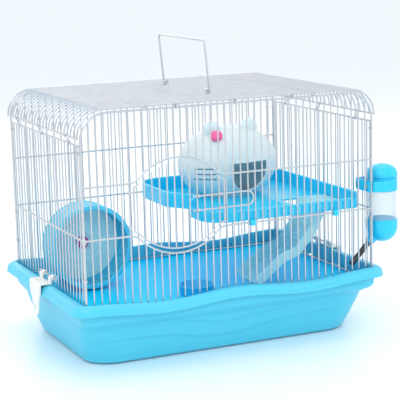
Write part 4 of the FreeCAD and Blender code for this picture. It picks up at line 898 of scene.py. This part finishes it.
# floor of the set, light and camera
setLook = {"floorRadius": 30.0, "floorDrop": 0.0003, "sky": (0.95, 0.98, 1.0, 1.0), "skyLight": 1.0}


def buildSet():
    bm = bmesh.new()
    bmesh.ops.create_circle(bm, cap_ends=True, segments=96, radius=setLook["floorRadius"])
    bmesh.ops.translate(bm, vec=(0, 0, -setLook["floorDrop"]), verts=bm.verts)
    ground = asObject("studioFloor", bm)
    surface = Surface("studioPaper")
    paper = surface.noise(3.0, 3.0)
    tone = surface.blend(paper, (0.93, 0.965, 0.99, 1.0), (0.90, 0.95, 0.985, 1.0))
    finished = surface.finish(Base_Color=tone, Roughness=0.42 + paper * 0.06, Coat_Weight=0.1)
    ground.data.materials.append(finished)

    world = bpy.data.worlds.new("studio")
    bpy.context.scene.world = world
    world.use_nodes = True
    back = world.node_tree.nodes["Background"]
    back.inputs["Color"].default_value = setLook["sky"]
    back.inputs["Strength"].default_value = setLook["skyLight"]


def softbox(name, position, aim, width, height, power, colour=(1.0, 1.0, 1.0)):
    lamp = bpy.data.lights.new(name, "AREA")
    lamp.shape = "RECTANGLE"
    lamp.size = width
    lamp.size_y = height
    lamp.energy = power
    lamp.color = colour
    holder = bpy.data.objects.new(name, lamp)
    bpy.context.scene.collection.objects.link(holder)
    holder.location = position
    holder.rotation_euler = (Vector(aim) - Vector(position)).to_track_quat("-Z", "Y").to_euler()


buildSet()
softbox("keyBox", (-1.3, -1.7, 1.7), (0, 0, 0.15), 1.6, 1.2, 17.0)
softbox("fillBox", (1.9, -1.3, 0.9), (0, 0, 0.15), 1.4, 1.4, 6.0, (0.93, 0.97, 1.0))
softbox("topBox", (0.1, 0.3, 2.1), (0, 0, 0.15), 1.8, 1.4, 9.0)
softbox("rearBox", (0.5, 2.2, 1.3), (0, 0, 0.2), 2.0, 1.2, 7.0)

cameraView = {
    "position": (-0.79835, -1.82216, 0.56143),
    "azimuth": -24.11,
    "elevation": 10.60,
    "roll": -1.55,
    "lens": 126.1,
}


def buildCamera():
    azimuth = math.radians(cameraView["azimuth"])
    elevation = math.radians(cameraView["elevation"])
    roll = math.radians(cameraView["roll"])
    back = Vector((math.sin(azimuth) * math.cos(elevation), -math.cos(azimuth) * math.cos(elevation),
                   math.sin(elevation)))
    level = Vector((0, 0, 1)).cross(back).normalized()
    upright = back.cross(level)
    right = level * math.cos(roll) + upright * math.sin(roll)
    up = upright * math.cos(roll) - level * math.sin(roll)
    lens = bpy.data.cameras.new("camera")
    lens.lens = cameraView["lens"]
    lens.sensor_width = 36.0
    camera = bpy.data.objects.new("camera", lens)
    bpy.context.scene.collection.objects.link(camera)
    turn = Matrix((right, up, back)).transposed().to_4x4()
    camera.matrix_world = Matrix.Translation(cameraView["position"]) @ turn
    bpy.context.scene.camera = camera


buildCamera()
bpy.context.scene.view_settings.view_transform = "Standard"
print("set and camera ready")
